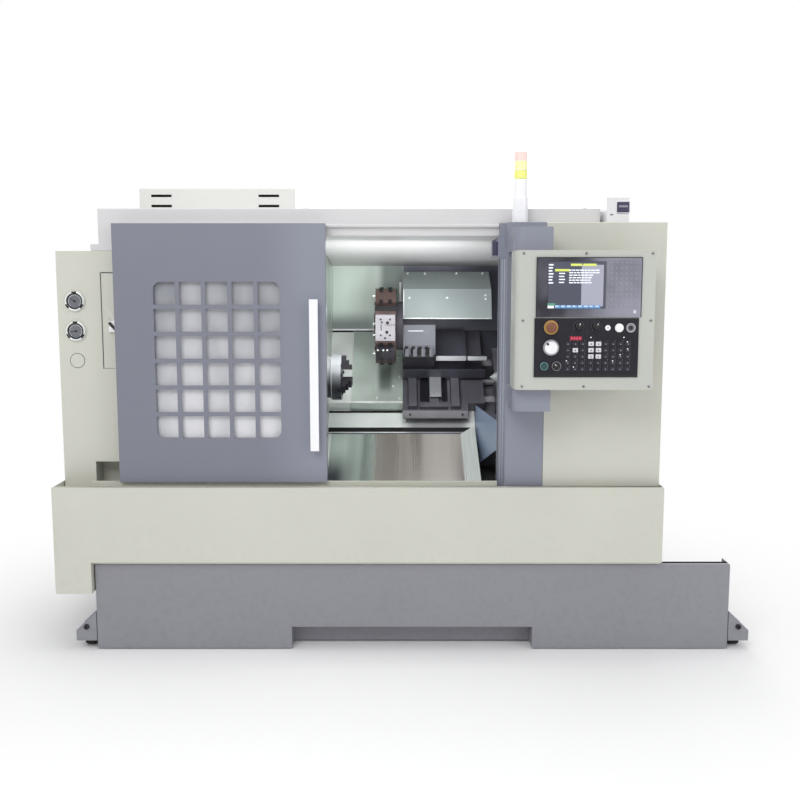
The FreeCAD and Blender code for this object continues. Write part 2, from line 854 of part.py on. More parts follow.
def chute_panel():
    """Chip chute with its flared right edge and the flange under its upper edge."""
    y0 = cover_y + chute_low_setback
    y1 = spindle_y + chute_top_back
    z0 = chute_low()
    z1 = spindle_z - chute_top_drop
    t = inner_sheet
    flat = prism_x([(y0, z0), (y1, z1), (y1, z1 - t), (y0, z0 - t)], (work_left, chute_flat_right))
    x1 = chute_flat_right
    x2 = chute_flat_right + chute_side_width
    rise = chute_side_rise
    corners = [at(x1, y0, z0), at(x2, y0, z0 + rise), at(x2, y0, z0 + rise - t), at(x1, y0, z0 - t)]
    side = prism(corners, at(0, y1 - y0, z1 - z0))
    reach = bed_drop - (chute_top_drop + chute_top_back) * slope_cos
    foot = [(y1, z1), (y1 + reach * slope_sin, z1 - reach * slope_cos)]
    foot = prism_x(foot + [(y - t, z - t) for y, z in reversed(foot)], (work_left, chute_flat_right))
    return joined(flat, side, foot)


def chute_low():
    return spindle_z - chute_low_drop


def tail_guard():
    """Upright guard between the chute and the column, cut away along its lower front."""
    t = inner_sheet
    y = (cover_y, spindle_y + tail_guard_back)
    z = (spindle_z - tail_guard_drop, spindle_z - tail_guard_drop + tail_guard_height)
    near = post_left + sheet
    plate = prism_z([(near, y[0]), (near + t, y[0]), (tail_guard_left + t, y[1]), (tail_guard_left, y[1])], z)
    tab = block((near, near + t), (post_y + sheet, y[0]), z)
    cut_y = y[1] - tail_guard_foot
    cut = prism_x([(post_y, z[0]), (cut_y, z[0]), (post_y, z[0] + tail_guard_rise)],
                  (tail_guard_left, near + t))
    low = slope(bed_low, -bed_drop)
    high = slope(0, -bed_drop)
    bed = prism_x([low, high, (high[0], z[0]), (low[0], z[0])], (tail_guard_left, near + t))
    return joined(plate, tab).cut(cut).cut(bed)


def cover_section_shape(index, x):
    """One telescoping way cover: a sloping plate with its lower edge turned down to the bed."""
    t = inner_sheet
    top = cover_v - index * cover_step
    u = (cover_low + index * cover_step, cover_top_u() - (index + 1) * cover_step)
    plate = slope_block(x, u, (top - t, top))
    lip = slope_block(x, (u[0], u[0] + t), (2 * t - bed_drop, top))
    return joined(plate, lip)


def way_cover_fixed():
    """Leftmost way cover and the apron that its lower edge rests on."""
    x = (work_left, work_left + cover_section)
    section = cover_section_shape(2, x)
    apron_top = inner_sheet - bed_drop
    end_u = cover_low + 2 * cover_step + inner_sheet
    apron = slope_block((work_left, apron_right), (apron_low, end_u), (-bed_drop, apron_top))
    edge = slope_block(x, (end_u - inner_sheet, end_u), (apron_top, cover_v - 2 * cover_step))
    return joined(section, edge, apron)


def way_cover_middle():
    middle = (work_left + cover_section + saddle_left - cover_section) / 2
    return cover_section_shape(1, (middle - cover_section / 2, middle + cover_section / 2))


# --------------------------------------------------------------------------- sliding door
def window_span():
    x0 = door_left + window_left_margin
    z0 = door_bottom + window_bottom_margin
    width = window_columns * window_cell_x + (window_columns - 1) * window_bar
    height = window_rows * window_cell_z + (window_rows - 1) * window_bar
    return (x0, x0 + width), (z0, z0 + height)


def sliding_door():
    """Folded door skin with returned edges, its lattice window and the frame that holds the glass."""
    x = (door_left, door_right)
    y = (cabinet_y, door_back)
    z = (door_bottom, door_top)
    w = sheet
    skin = block(x, y, z).cut(block((x[0] + w, x[1] - w), (y[0] + w, y[1] - w), (z[0] + w, z[1] - w)))
    wx, wz = window_span()
    lap = glass_lap
    frame = block((wx[0] - lap, wx[1] + lap), y, (wz[0] - lap, wz[1] + lap))
    shape = skin.fuse(frame)
    seat = glass_setback
    inside = block(wx, (y[0] + w, y[1]), wz)
    shape = shape.cut(inside)
    shape = shape.cut(block((wx[0] - lap / 2, wx[1] + lap / 2), (y[0] + seat, y[0] + seat + glass_thickness),
                            (wz[0] - lap / 2, wz[1] + lap / 2)))
    cells = []
    for column in range(window_columns):
        for row in range(window_rows):
            cx = wx[0] + column * (window_cell_x + window_bar)
            cz = wz[0] + row * (window_cell_z + window_bar)
            cells.append(block((cx, cx + window_cell_x), (y[0], y[0] + w), (cz, cz + window_cell_z)))
    panes = round_edges(block(wx, (y[0], y[0] + w), wz), window_corner, along_y)
    return shape.cut(Part.makeCompound(cells).common(panes)).removeSplitter()


def door_glass():
    wx, wz = window_span()
    lap = glass_lap / 2
    y = cabinet_y + glass_setback
    return block((wx[0] - lap, wx[1] + lap), (y, y + glass_thickness), (wz[0] - lap, wz[1] + lap))


def door_handle():
    low = door_bottom + handle_low
    half = handle_width / 2
    face = cabinet_y - handle_standoff
    bar = block((handle_x - half, handle_x + half), (face - handle_thickness, face),
                (low, low + handle_length))
    posts = [pillar_y(handle_x, z, half / 2, hidden_sides, (face, cabinet_y))
             for z in (low + handle_width, low + handle_length - handle_width)]
    return joined(bar, *posts)


# --------------------------------------------------------------------------- spindle and chuck
def spindle():
    """Hollow spindle with its nose flange and the draw cylinder at the rear."""
    rear = bed_left - motor_length - spindle_bore / 2
    shaft = rod_x(spindle_y, spindle_z, spindle_radius, (rear, flange_left))
    cylinder = pillar_x(spindle_y, spindle_z, cylinder_radius, hidden_sides, (rear - cylinder_length, rear))
    flange = pillar_x(spindle_y, spindle_z, flange_radius, round_sides, (flange_left, flange_right))
    bore = rod_x(spindle_y, spindle_z, spindle_bore, (rear - cylinder_length, flange_right))
    return joined(shaft, cylinder, flange).cut(bore)


def chuck_body():
    """Hub and body of the chuck, hollow in the middle, with a slot for every jaw."""
    hub = flange_right + chuck_hub_length
    collar = pillar_x(spindle_y, spindle_z, chuck_hub_radius, round_sides, (flange_right, hub))
    shape = joined(rod_x(spindle_y, spindle_z, chuck_radius, (hub, chuck_face)), collar)
    shape = shape.cut(rod_x(spindle_y, spindle_z, spindle_bore, (flange_right, chuck_face)))
    for angle in jaw_angles():
        slot = block((chuck_face - jaw_slot_depth, chuck_face), (-jaw_slot_width / 2, jaw_slot_width / 2),
                     (spindle_bore * 1.2, chuck_radius + sheet))
        shape = shape.cut(turned_to_jaw(slot, angle))
    return shape


def jaw_angles():
    """Turns about the spindle line, the first jaw standing straight up."""
    return [0.0, 120.0, 240.0]


def turned_to_jaw(shape, angle):
    """Moves a shape drawn about X, its radius along Z, to its place on the chuck."""
    placed = shape.copy()
    placed.rotate(at(0, 0, 0), at(1, 0, 0), angle)
    placed.translate(at(0, spindle_y, spindle_z))
    return placed


def chuck_jaw(angle):
    face = chuck_face + run_gap
    tongue = jaw_slot_width / 2 - run_gap
    base = block((chuck_face - jaw_slot_depth + run_gap, face), (-tongue, tongue),
                 (jaw_inner + run_gap, jaw_outer))
    third = (jaw_outer - jaw_inner) / 3
    steps = [base]
    for i, share in enumerate((1.0, 0.7, 0.42)):
        low = jaw_inner + i * third
        steps.append(block((face, face + share * jaw_height), (-jaw_width / 2, jaw_width / 2),
                           (low, low + third)))
    return turned_to_jaw(joined(*steps), angle)


# --------------------------------------------------------------------------- carriage
def ball_screw():
    y, z = slope(screw_u, screw_v())
    shaft = rod_x(y, z, screw_radius, (way_left, bed_right))
    collar = pillar_x(y, z, screw_radius * 1.25, hidden_sides, (way_left - bed_wall / 3, way_left))
    return joined(shaft, collar)


def saddle():
    """Plate on the bed's rails, with the cross rails, the screw's cover, and the nearest way cover."""
    x = (saddle_left, saddle_right)
    v = (-bed_drop + way_height + block_lift, -bed_drop + way_height + block_lift + saddle_thickness)
    u = (saddle_low, saddle_high)
    shape = slope_block(x, u, v)
    parts = [slope_block(x, (u[0] - saddle_skirt, u[0]), (2 * inner_sheet - bed_drop, v[1]))]
    for rail in (rail_low, rail_high):
        parts.append(slope_block(x, (rail - block_reach, rail + block_reach),
                                 (2 * inner_sheet - bed_drop, v[0])))
    nut_half = way_width * 0.8
    parts.append(slope_block((x[0] + nut_half, x[1] - nut_half), (screw_u - nut_half, screw_u + nut_half),
                             (2 * inner_sheet - bed_drop, v[0])))
    rails = [slope_block((c - x_rail_width / 2, c + x_rail_width / 2), u, (v[1], v[1] + x_rail_height))
             for c in (x_rail_left, x_rail_right)]
    cover_x = (screw_cover_left, screw_cover_left + screw_cover_width)
    cover = slope_block(cover_x, (u[0], u[1]), (v[1], v[1] + screw_cover_top))
    spread = screw_cover_width * 0.9
    foot_u = (u[0], u[0] + spread * 0.6)
    foot = prism([at(cover_x[0] - spread, *slope(foot_u[0], v[1])),
                  at(cover_x[1] + spread, *slope(foot_u[0], v[1])),
                  at(cover_x[1], *slope(foot_u[1], v[1])), at(cover_x[0], *slope(foot_u[1], v[1]))],
                 at(0, -screw_cover_top * slope_sin, screw_cover_top * slope_cos))
    shape = joined(shape, *parts)
    for rail in (rail_low, rail_high):
        half = way_width / 2 + run_gap
        shape = shape.cut(slope_block(x, (rail - half, rail + half),
                                      (-bed_drop, way_height + run_gap - bed_drop)))
    y, z = slope(screw_u, screw_v())
    shape = shape.cut(rod_x(y, z, screw_radius + run_gap, x))
    return Part.makeCompound([shape, *rails, joined(cover, foot),
                              cover_section_shape(0, (saddle_left - cover_section, saddle_left)),
                              cover_section_shape(0, (saddle_right, saddle_right + right_cover))])


def rail_top():
    return -bed_drop + way_height + block_lift + saddle_thickness + x_rail_height


def cross_slide():
    """Slide on the cross rails, with its upturned lower edge."""
    low = rail_top() + run_gap
    x = (saddle_left, saddle_right)
    plate = slope_block(x, (slide_low, slide_high), (low, low + slide_thickness))
    lip = slope_block((saddle_left, slide_lip_right), (slide_low - saddle_skirt, slide_low),
                      (low, low + slide_lip))
    shape = joined(plate, lip)
    for centre in (x_rail_left, x_rail_right):
        for side in (-1, 1):
            inner = centre + side * (x_rail_width / 2 + run_gap)
            outer = centre + side * (x_rail_width / 2 + block_reach / 2)
            shape = joined(shape, slope_block((min(inner, outer), max(inner, outer)), (slide_low, slide_high),
                                              (low - x_rail_height, low)))
    return shape


def slide_top():
    return rail_top() + run_gap + slide_thickness


def turret_housing():
    """Gear housing behind the disc, its round neck, and the coolant manifold box with its hose glands."""
    v0 = slide_top()
    x = (housing_left, housing_left + housing_length)
    c = head_chamfer
    outline = [slope(housing_low, v0), slope(housing_high, v0), slope(housing_high, housing_top - c),
               slope(housing_high - c, housing_top), slope(housing_low + c, housing_top),
               slope(housing_low, housing_top - c)]
    body = prism_x(outline, x)
    y, z = slope(turret_u, 0)
    neck = pillar_x(y, z, neck_radius, round_sides, (turret_right + run_gap, housing_left))
    bore = rod_x(y, z, turret_shaft + turn_gap, (turret_right, housing_left))
    box_y = spindle_y + box_back
    box_z = spindle_z + box_lift
    box = block(x, (box_y, box_y + box_depth), (box_z, box_z + box_height))
    pitch = housing_length / gland_count
    glands = []
    for i in range(gland_count):
        gx = x[0] + pitch * (i + 0.5)
        gland_z = (box_z + sheet, box_z + sheet + gland_height)
        glands.append(pillar_z(gx, box_y - gland_radius * 0.8, gland_radius, 6, gland_z))
    return Part.makeCompound([joined(body, box, *glands), neck.cut(bore)])


def guard_line():
    """(y, z) bends of the turret's guard, from its lower edge to its upper one."""
    bends = [(guard_low_back, guard_low_lift), (guard_mid_back, guard_mid_lift),
             (guard_high_back, guard_high_lift)]
    return [(spindle_y + back, spindle_z + lift) for back, lift in bends]


def turret_guard():
    """Folded stainless guard over the turret's drive, with the end plates that stand on the housing."""
    t = inner_sheet
    line = guard_line()
    x = (housing_left, guard_right)
    roof = prism_x(line + [(y + t, z - t) for y, z in reversed(line)], x)
    corner = slope(housing_high, housing_top - head_chamfer)
    cheek = prism_x(line + [(line[-1][0], corner[1]), corner,
                            slope(housing_high - head_chamfer, housing_top)], (x[0], x[0] + t))
    far = prism_x(line + [(line[-1][0], line[0][1])], (x[1] - t, x[1]))
    rib = prism_x(line + [(line[-1][0], corner[1]), corner, slope(housing_high - head_chamfer, housing_top)],
                  (x[0] + housing_length - t, x[0] + housing_length))
    return joined(roof, cheek, far, rib)


# --------------------------------------------------------------------------- turret
def turret_disc():
    """Octagonal tool disc with a tool slot at every free station, and its shaft."""
    y, z = slope(turret_u, 0)
    step = 2 * math.pi / turret_stations
    corner = turret_flats / 2 / math.cos(step / 2)
    outline = [(y + corner * math.cos(step * (i + 0.5)), z + corner * math.sin(step * (i + 0.5)))
               for i in range(turret_stations)]
    shape = prism_x(outline, (turret_left, turret_right))
    shape = joined(shape, rod_x(y, z, turret_shaft, (turret_right, housing_left - run_gap)))
    apothem = turret_flats / 2
    cuts = []
    for i in range(turret_stations):
        if i == holder_station():
            continue
        slot = block((turret_left, turret_right), (apothem - tool_slot_depth, apothem),
                     (tool_slot_width / 2, tool_slot_width * 1.5))
        cuts.append(turned_station(slot, i))
    return shape.cut(Part.makeCompound(cuts))


def holder_station():
    """The station that faces the door."""
    return turret_stations // 2


def turned_station(shape, index):
    """Moves a shape drawn on the face that looks along Y to its station."""
    y, z = slope(turret_u, 0)
    placed = shape.copy()
    placed.rotate(at(0, 0, 0), at(1, 0, 0), 360.0 * index / turret_stations)
    placed.translate(at(0, y, z))
    return placed


def boring_holder():
    """Boring bar holder bolted to the station that faces the door."""
    y, z = slope(turret_u, 0)
    face = y - turret_flats / 2
    half = holder_height / 2
    margin = sheet
    shape = block((turret_left + margin, turret_right - margin), (face - holder_depth, face),
                  (z - half, z + half))
    return shape.cut(rod_x(face - holder_depth / 2, z, holder_bore, (turret_left, turret_right)))


# --------------------------------------------------------------------------- tailstock
def tailstock():
    x = (tail_left, tail_left + tail_length)
    c = head_chamfer
    v0 = -bed_drop + way_height + run_gap
    base_top = v0 + tail_base_height
    base = slope_block(x, (tail_base_low, tail_base_high), (2 * inner_sheet - bed_drop, base_top))
    outline = [slope(tail_low, base_top), slope(tail_high + c, base_top), slope(tail_high, -quill_radius - c),
               slope(tail_high, tail_top - c), slope(tail_high - c, tail_top), slope(tail_low + c, tail_top),
               slope(tail_low, tail_top - c)]
    for rail in (rail_low, rail_high):
        half = way_width / 2 + run_gap
        base = base.cut(slope_block(x, (rail - half, rail + half), (-bed_drop, v0)))
    passage = bearing_half + sheet
    base = base.cut(slope_block(x, (screw_u - passage, screw_u + passage), (-bed_drop, screw_v() + passage)))
    head = prism_x(outline, x).cut(rod_x(spindle_y, spindle_z, quill_radius + turn_gap, x))
    return Part.makeCompound([base, head])


def quill():
    """Sleeve that slides in the tailstock, with a collar outside it and the centre's seat."""
    face = tail_left - run_gap
    sleeve = rod_x(spindle_y, spindle_z, quill_radius, (face, tail_left + tail_length))
    collar = pillar_x(spindle_y, spindle_z, collar_radius, round_sides, (face - collar_width, face))
    seat = rod_x(spindle_y, spindle_z, centre_radius + turn_gap,
                 (face - collar_width, tail_left + centre_seat))
    return joined(sleeve, collar).cut(seat)


def live_centre():
    """Shank in the quill and its many-sided point."""
    neck = centre_tip + centre_cone
    shank = rod_x(spindle_y, spindle_z, centre_radius, (neck, tail_left + centre_seat - run_gap))
    tip = [at(centre_tip, y, z) for y, z in polygon(spindle_y, spindle_z, sheet / 2, hidden_sides)]
    base = [at(neck, y, z) for y, z in polygon(spindle_y, spindle_z, centre_radius, hidden_sides)]
    rings = [tip, base] + [[tip[i - 1], tip[i], base[i], base[i - 1]] for i in range(hidden_sides)]
    faces = [Part.Face(Part.makePolygon(ring + ring[:1])) for ring in rings]
    return joined(shank, Part.makeSolid(Part.makeShell(faces)))


# --------------------------------------------------------------------------- operator panel
def operator_panel():
    """Panel box with a rounded left edge and a pivot pin at the top and bottom."""
    y = (panel_front, panel_back)
    shape = block((panel_left, panel_right), y, (panel_bottom, panel_top))
    shape = round_edges(shape, panel_corner,
                        lambda a, b: upright(a, b) and a.y < y[0] + 1 and a.x < panel_left + 1)
    pins = [pillar_z(pivot_x, pivot_y, pivot_radius, hidden_sides, z)
            for z in ((panel_top, panel_top + pivot_length), (panel_bottom - pivot_length, panel_bottom))]
    return joined(shape, *pins)


def display_unit():
    """Display with its sunk screen."""
    plate = block((display_left, display_left + display_width), (board_face, panel_front),
                  (display_bottom, display_bottom + display_height))
    screen = block((display_left + display_width * 0.11, display_left + display_width * 0.66),
                   (board_face, board_face + sheet / 2),
                   (display_bottom + display_height * 0.14, display_bottom + display_height * 0.93))
    return plate.cut(screen)


def machine_board():
    """Lower board with its knobs' bores, its push buttons' square holes and the stop button's collar."""
    shape = block((board_left, board_left + board_width), (board_face, panel_front),
                  (board_bottom, board_bottom + board_height))
    y = (board_face - ring_height, panel_front)
    shape = joined(shape, pillar_y(stop_x, stop_z, stop_collar, round_sides, (y[0], board_face)))
    for x, z in ((wheel_x, wheel_z), (feed_x, override_z), (speed_x, override_z), (mode_x, low_row_z)):
        shape = shape.cut(rod_y(x, z, knob_shaft + turn_gap, y))
    for x, z, width in ((stop_x, stop_z, stop_stem), (start_x, low_row_z, button_stem)):
        shape = shape.cut(square_stem(x, z, width + 2 * turn_gap, y))
    return shape


def square_stem(x, z, width, y):
    half = width / 2
    return block((x - half, x + half), y, (z - half, z + half))


def stem_end():
    """How deep a push button's stem stands in the board."""
    return panel_front - button_travel + turn_gap - run_gap


def stop_button():
    """Mushroom head on its square stem."""
    y = (-half_depth, stop_head - half_depth)
    head = pillar_y(stop_x, stop_z, stop_radius, round_sides, y)
    return joined(head, square_stem(stop_x, stop_z, stop_stem, (y[1], stem_end())))


def start_button():
    """Round head on its square stem, standing clear of the board by its travel."""
    y = (board_face - button_height, board_face - button_travel - run_gap)
    head = pillar_y(start_x, low_row_z, button_radius, round_sides, y)
    return joined(head, square_stem(start_x, low_row_z, button_stem, (y[1], stem_end())))


def hand_wheel():
    """Pulse generator's dial with its spinner knob."""
    face = board_face - run_gap
    top = face - dial_height
    offset = dial_radius * 0.45
    dial = pillar_y(wheel_x, wheel_z, dial_radius, round_sides, (top, face))
    spinner = pillar_y(wheel_x - offset, wheel_z + offset, spinner_radius, hidden_sides,
                       (top - spinner_height, top))
    shaft = pillar_y(wheel_x, wheel_z, knob_shaft, hidden_sides, (face, panel_front - run_gap))
    return joined(dial, spinner, shaft)


def rotary_knob(x, z):
    """Many-sided grip with a raised bar, on its round shaft."""
    face = board_face - run_gap
    top = face - knob_height
    mid = face - knob_height * 0.6
    grip = pillar_y(x, z, knob_radius, hidden_sides, (mid, face))
    half = knob_radius * 0.25
    bar = block((x - half, x + half), (top, mid), (z - knob_radius * 0.8, z + knob_radius * 0.8))
    return joined(grip, bar, pillar_y(x, z, knob_shaft, hidden_sides, (face, panel_front - run_gap)))


# --------------------------------------------------------------------------- coolant tank
def caster_bracket(x, inner, y):
    """Gusseted bracket at one end of the tank. inner is the side that meets the tank."""
    outer = x[0] if inner == x[1] else x[1]
    outline = [(inner, bracket_low), (outer, bracket_low), (outer, bracket_shoulder), (inner, bracket_high)]
    t = bracket_plate
    front = prism_y(outline, (y[0], y[0] + t))
    back = prism_y(outline, (y[1] - t, y[1]))
    top = block(x, y, (caster_plate_z, caster_plate_z + t))
    return joined(front, back, top)


def coolant_tank():
    """Front box with its toe notch, the trough behind it, the caster brackets and the pump."""
    t = tank_sheet
    x = (tank_left, tank_right)
    y = (tank_front, recess_wall_y)
    inside = (x[0] + t, x[1] - t)
    shell = block(x, y, (tank_ground, tank_top))
    shell = shell.cut(block(inside, (y[0] + t, y[1]), (tank_ground + t, tank_top - t)))
    shell = shell.cut(block(inside, (y[0] + tank_ledge, y[1]), (tank_top - t, tank_top)))
    notch = (notch_left, notch_right)
    surround = block((notch[0] - t, notch[1] + t), y, (tank_ground, notch_top + t))
    shell = joined(shell, surround).cut(block(notch, y, (tank_ground, notch_top)))
    trough = block(x, (y[1], trough_back), (tank_ground, trough_top))
    trough = trough.cut(block(inside, (y[1] + t, trough_back - t), (tank_ground + t, trough_top)))
    brackets = []
    for bracket_x, wall_x, caster_x in (((x[0] - bracket_width, x[0]), x[0], caster_left_x),
                                        ((x[1], x[1] + bracket_width), x[1], caster_right_x)):
        for axis_y in (wheel_front_y, wheel_back_y):
            reach = (axis_y - bracket_span / 2, axis_y + bracket_span / 2)
            bracket = caster_bracket(bracket_x, wall_x, reach)
            if axis_y == wheel_front_y:
                stem = rod_z(caster_x, axis_y, axle_radius * 2 + turn_gap, (0, bracket_high))
                brackets.append(bracket.cut(stem))
            else:
                brackets.append(joined(bracket, *fixed_fork(caster_x, axis_y)))
    px = (notch_right + tank_right) / 2
    py = trough_back - 2 * pump_radius
    foot_half = pump_radius * 1.3
    foot = block((px - foot_half, px + foot_half), (py - foot_half, trough_back),
                 (trough_top, trough_top + t))
    pump = pillar_z(px, py, pump_radius, hidden_sides, (trough_top + t, trough_top + pump_height))
    return Part.makeCompound([shell, trough, *brackets, foot, pump])


def fixed_fork(x, y):
    """Two cheeks and the axle of a caster that doesn't swivel, wheel rolling to the front."""
    half = wheel_width / 2 + run_gap
    z = (wheel_radius - 2 * axle_radius, caster_plate_z)
    cheeks = [block((x - half - fork_cheek, x - half), (y - 2 * axle_radius, y + 2 * axle_radius), z),
              block((x + half, x + half + fork_cheek), (y - 2 * axle_radius, y + 2 * axle_radius), z)]
    return cheeks + [pillar_x(y, wheel_radius, axle_radius, hidden_sides, (x - half, x + half))]


def caster_fork(x):
    """Swivel fork with its stem through the bracket's plate and the wheel's axle."""
    y = wheel_front_y
    top = caster_plate_z - run_gap
    half = wheel_width / 2 + run_gap
    yoke = block((x - half - fork_cheek, x + half + fork_cheek),
                 (y - 3 * axle_radius, y + caster_trail + 2 * axle_radius),
                 (top - fork_cheek, top))
    stem = pillar_z(x, y, axle_radius * 2, hidden_sides, (top, caster_plate_z + bracket_plate + fork_cheek))
    cheeks = []
    for cx in (x - half - fork_cheek, x + half):
        cheeks.append(block((cx, cx + fork_cheek),
                            (y + caster_trail - 2 * axle_radius, y + caster_trail + 2 * axle_radius),
                            (wheel_radius - 2 * axle_radius, top)))
    axle = pillar_x(y + caster_trail, wheel_radius, axle_radius, hidden_sides, (x - half, x + half))
    return joined(yoke, stem, axle, *cheeks)


def caster_wheel(x, y):
    half = wheel_width / 2
    x = (x - half, x + half)
    tread = pillar_x(y, wheel_radius, wheel_radius, round_sides, x)
    return tread.cut(rod_x(y, wheel_radius, axle_radius + turn_gap, x))


# --------------------------------------------------------------------------- electrical cabinet
def electrical_cabinet():
    """Cabinet at the back, open behind for its door, with slots above the roof and a mounting plate."""
    w = sheet
    x = (electrical_left, electrical_right)
    y = (enclosure_back, electrical_face - w - run_gap)
    z = (electrical_bottom, electrical_top)
    shell = block(x, y, z).cut(block((x[0] + w, x[1] - w), (y[0] + w, y[1]), (z[0] + w, z[1] - w)))
    for side in (x[0] + vent_inset, x[1] - vent_inset - vent_width - vent_pitch / 2):
        for row in range(2):
            top = z[1] - vent_first - row * vent_pitch
            shell = shell.cut(block((side, side + vent_width), (y[0], y[0] + w), (top - vent_height, top)))
    margin = vent_width / 2
    plate = block((x[0] + margin, x[1] - margin), (y[0] + w, y[0] + 4 * w),
                  (z[0] + margin, cover_top - margin))
    modules = []
    width = (electrical_width - 3 * margin) / module_columns
    for i in range(module_columns):
        left = x[0] + 1.5 * margin + i * width
        for low, high in ((0.18, 0.34), (0.42, 0.62), (0.7, 0.92)):
            span = cover_top - margin - z[0]
            modules.append(block((left, left + width - margin / 2),
                                 (y[0] + 4 * w, y[0] + electrical_depth * 0.45),
                                 (z[0] + low * span, z[0] + high * span)))
    return Part.makeCompound([shell, plate, *modules])


def electrical_door():
    """Door of the electrical cabinet, with folded edges, a louvred vent and its hinge barrels."""
    w = sheet
    gap = electrical_door_gap
    x = (electrical_left, electrical_right)
    y = (electrical_face - w, electrical_face)
    z = (electrical_bottom, electrical_top)
    plate = block((hinge_x(), x[1]), y, z)
    y_in = y[0] - vent_height
    rim = block((x[0] + w + gap, x[1] - w - gap), (y_in, y[0]), (z[0] + w + gap, z[1] - w - gap))
    inset = 2 * w + gap
    rim = rim.cut(block((x[0] + inset, x[1] - inset), (y_in, y[0]), (z[0] + inset, z[1] - inset)))
    barrels = rod_z(hinge_x(), hinge_y(), hinge_radius, z)
    cuts = [rod_y(switch_x(), switch_z, switch_shaft + turn_gap, y)]
    louvre_x = (x[0] + x[1] - louvre_width) / 2
    for row in range(louvre_rows):
        low = z[0] + vent_width + row * louvre_pitch
        cuts.append(block((louvre_x, louvre_x + louvre_width), y, (low, low + vent_height)))
    return joined(plate, rim, barrels).cut(Part.makeCompound(cuts))


def hinge_x():
    return electrical_left - hinge_radius - run_gap


def hinge_y():
    return electrical_face - hinge_radius


def switch_x():
    return electrical_right - vent_width


def main_switch():
    """Rotary main switch: its handle outside the door and its shaft through it."""
    face = electrical_face + run_gap
    plate = pillar_y(switch_x(), switch_z, switch_radius, hidden_sides, (face, face + switch_reach / 3))
    grip = switch_radius * 0.3
    handle = block((switch_x() - grip, switch_x() + grip), (face + switch_reach / 4, half_depth),
                   (switch_z - switch_radius * 0.8, switch_z + switch_radius * 0.8))
    shaft = pillar_y(switch_x(), switch_z, switch_shaft, hidden_sides, (electrical_face - 2 * sheet, face))
    return joined(plate, handle, shaft)


# --------------------------------------------------------------------------- pieces to files
pieces = {
    "bed_casting": bed_casting(),
    "levelling_feet": levelling_feet(),
    "bed_rails": bed_rails(),
    "headstock": headstock(),
    "spindle_motor": spindle_motor(),
    "z_drive": z_drive(),
    "lower_front_cover": lower_front_cover(),
    "left_cover": left_cover(),
    "access_door": access_door(),
    "pressure_gauges": pressure_gauges(),
    "roof_hood": roof_hood(),
    "rear_cover": rear_cover(),
    "right_cabinet": right_cabinet(),
    "door_post": door_post(),
    "roof_unit": roof_unit(),
    "signal_tower": signal_tower(),
    "panel_brackets": panel_brackets(),
    "inner_left_wall": inner_left_wall(),
    "back_wall": back_wall(),
    "chute_panel": chute_panel(),
    "tail_guard": tail_guard(),
    "way_cover_fixed": way_cover_fixed(),
    "way_cover_middle": way_cover_middle(),
    "sliding_door": sliding_door(),
    "door_glass": door_glass(),
    "door_handle": door_handle(),
    "spindle": spindle(),
    "chuck_body": chuck_body(),
    "chuck_jaw_1": chuck_jaw(jaw_angles()[0]),
    "chuck_jaw_2": chuck_jaw(jaw_angles()[1]),
    "chuck_jaw_3": chuck_jaw(jaw_angles()[2]),
    "ball_screw": ball_screw(),
    "saddle": saddle(),
    "cross_slide": cross_slide(),
    "turret_housing": turret_housing(),
    "turret_guard": turret_guard(),
    "turret_disc": turret_disc(),
    "boring_holder": boring_holder(),
    "tailstock": tailstock(),
    "quill": quill(),
    "live_centre": live_centre(),
    "operator_panel": operator_panel(),
    "display_unit": display_unit(),
    "machine_board": machine_board(),
    "stop_button": stop_button(),
    "hand_wheel": hand_wheel(),
    "feed_knob": rotary_knob(feed_x, override_z),
    "speed_knob": rotary_knob(speed_x, override_z),
    "mode_knob": rotary_knob(mode_x, low_row_z),
    "start_button": start_button(),
    "coolant_tank": coolant_tank(),
    "caster_fork_left": caster_fork(caster_left_x),
    "caster_fork_right": caster_fork(caster_right_x),
    "wheel_front_left": caster_wheel(caster_left_x, wheel_front_y + caster_trail),
    "wheel_front_right": caster_wheel(caster_right_x, wheel_front_y + caster_trail),
    "wheel_rear_left": caster_wheel(caster_left_x, wheel_back_y),
    "wheel_rear_right": caster_wheel(caster_right_x, wheel_back_y),
    "electrical_cabinet": electrical_cabinet(),
    "electrical_door": electrical_door(),
    "main_switch": main_switch(),
}

os.makedirs("parts", exist_ok=True)
for name, shape in pieces.items():
    shape.exportStep("parts/" + name + ".step")
    print(name, len(shape.Solids), shape.isValid(), round(shape.Volume / 1000.0))
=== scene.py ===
"""Looks of the turning lathe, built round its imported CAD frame. Metres, X right, Y back, Z up."""

import math

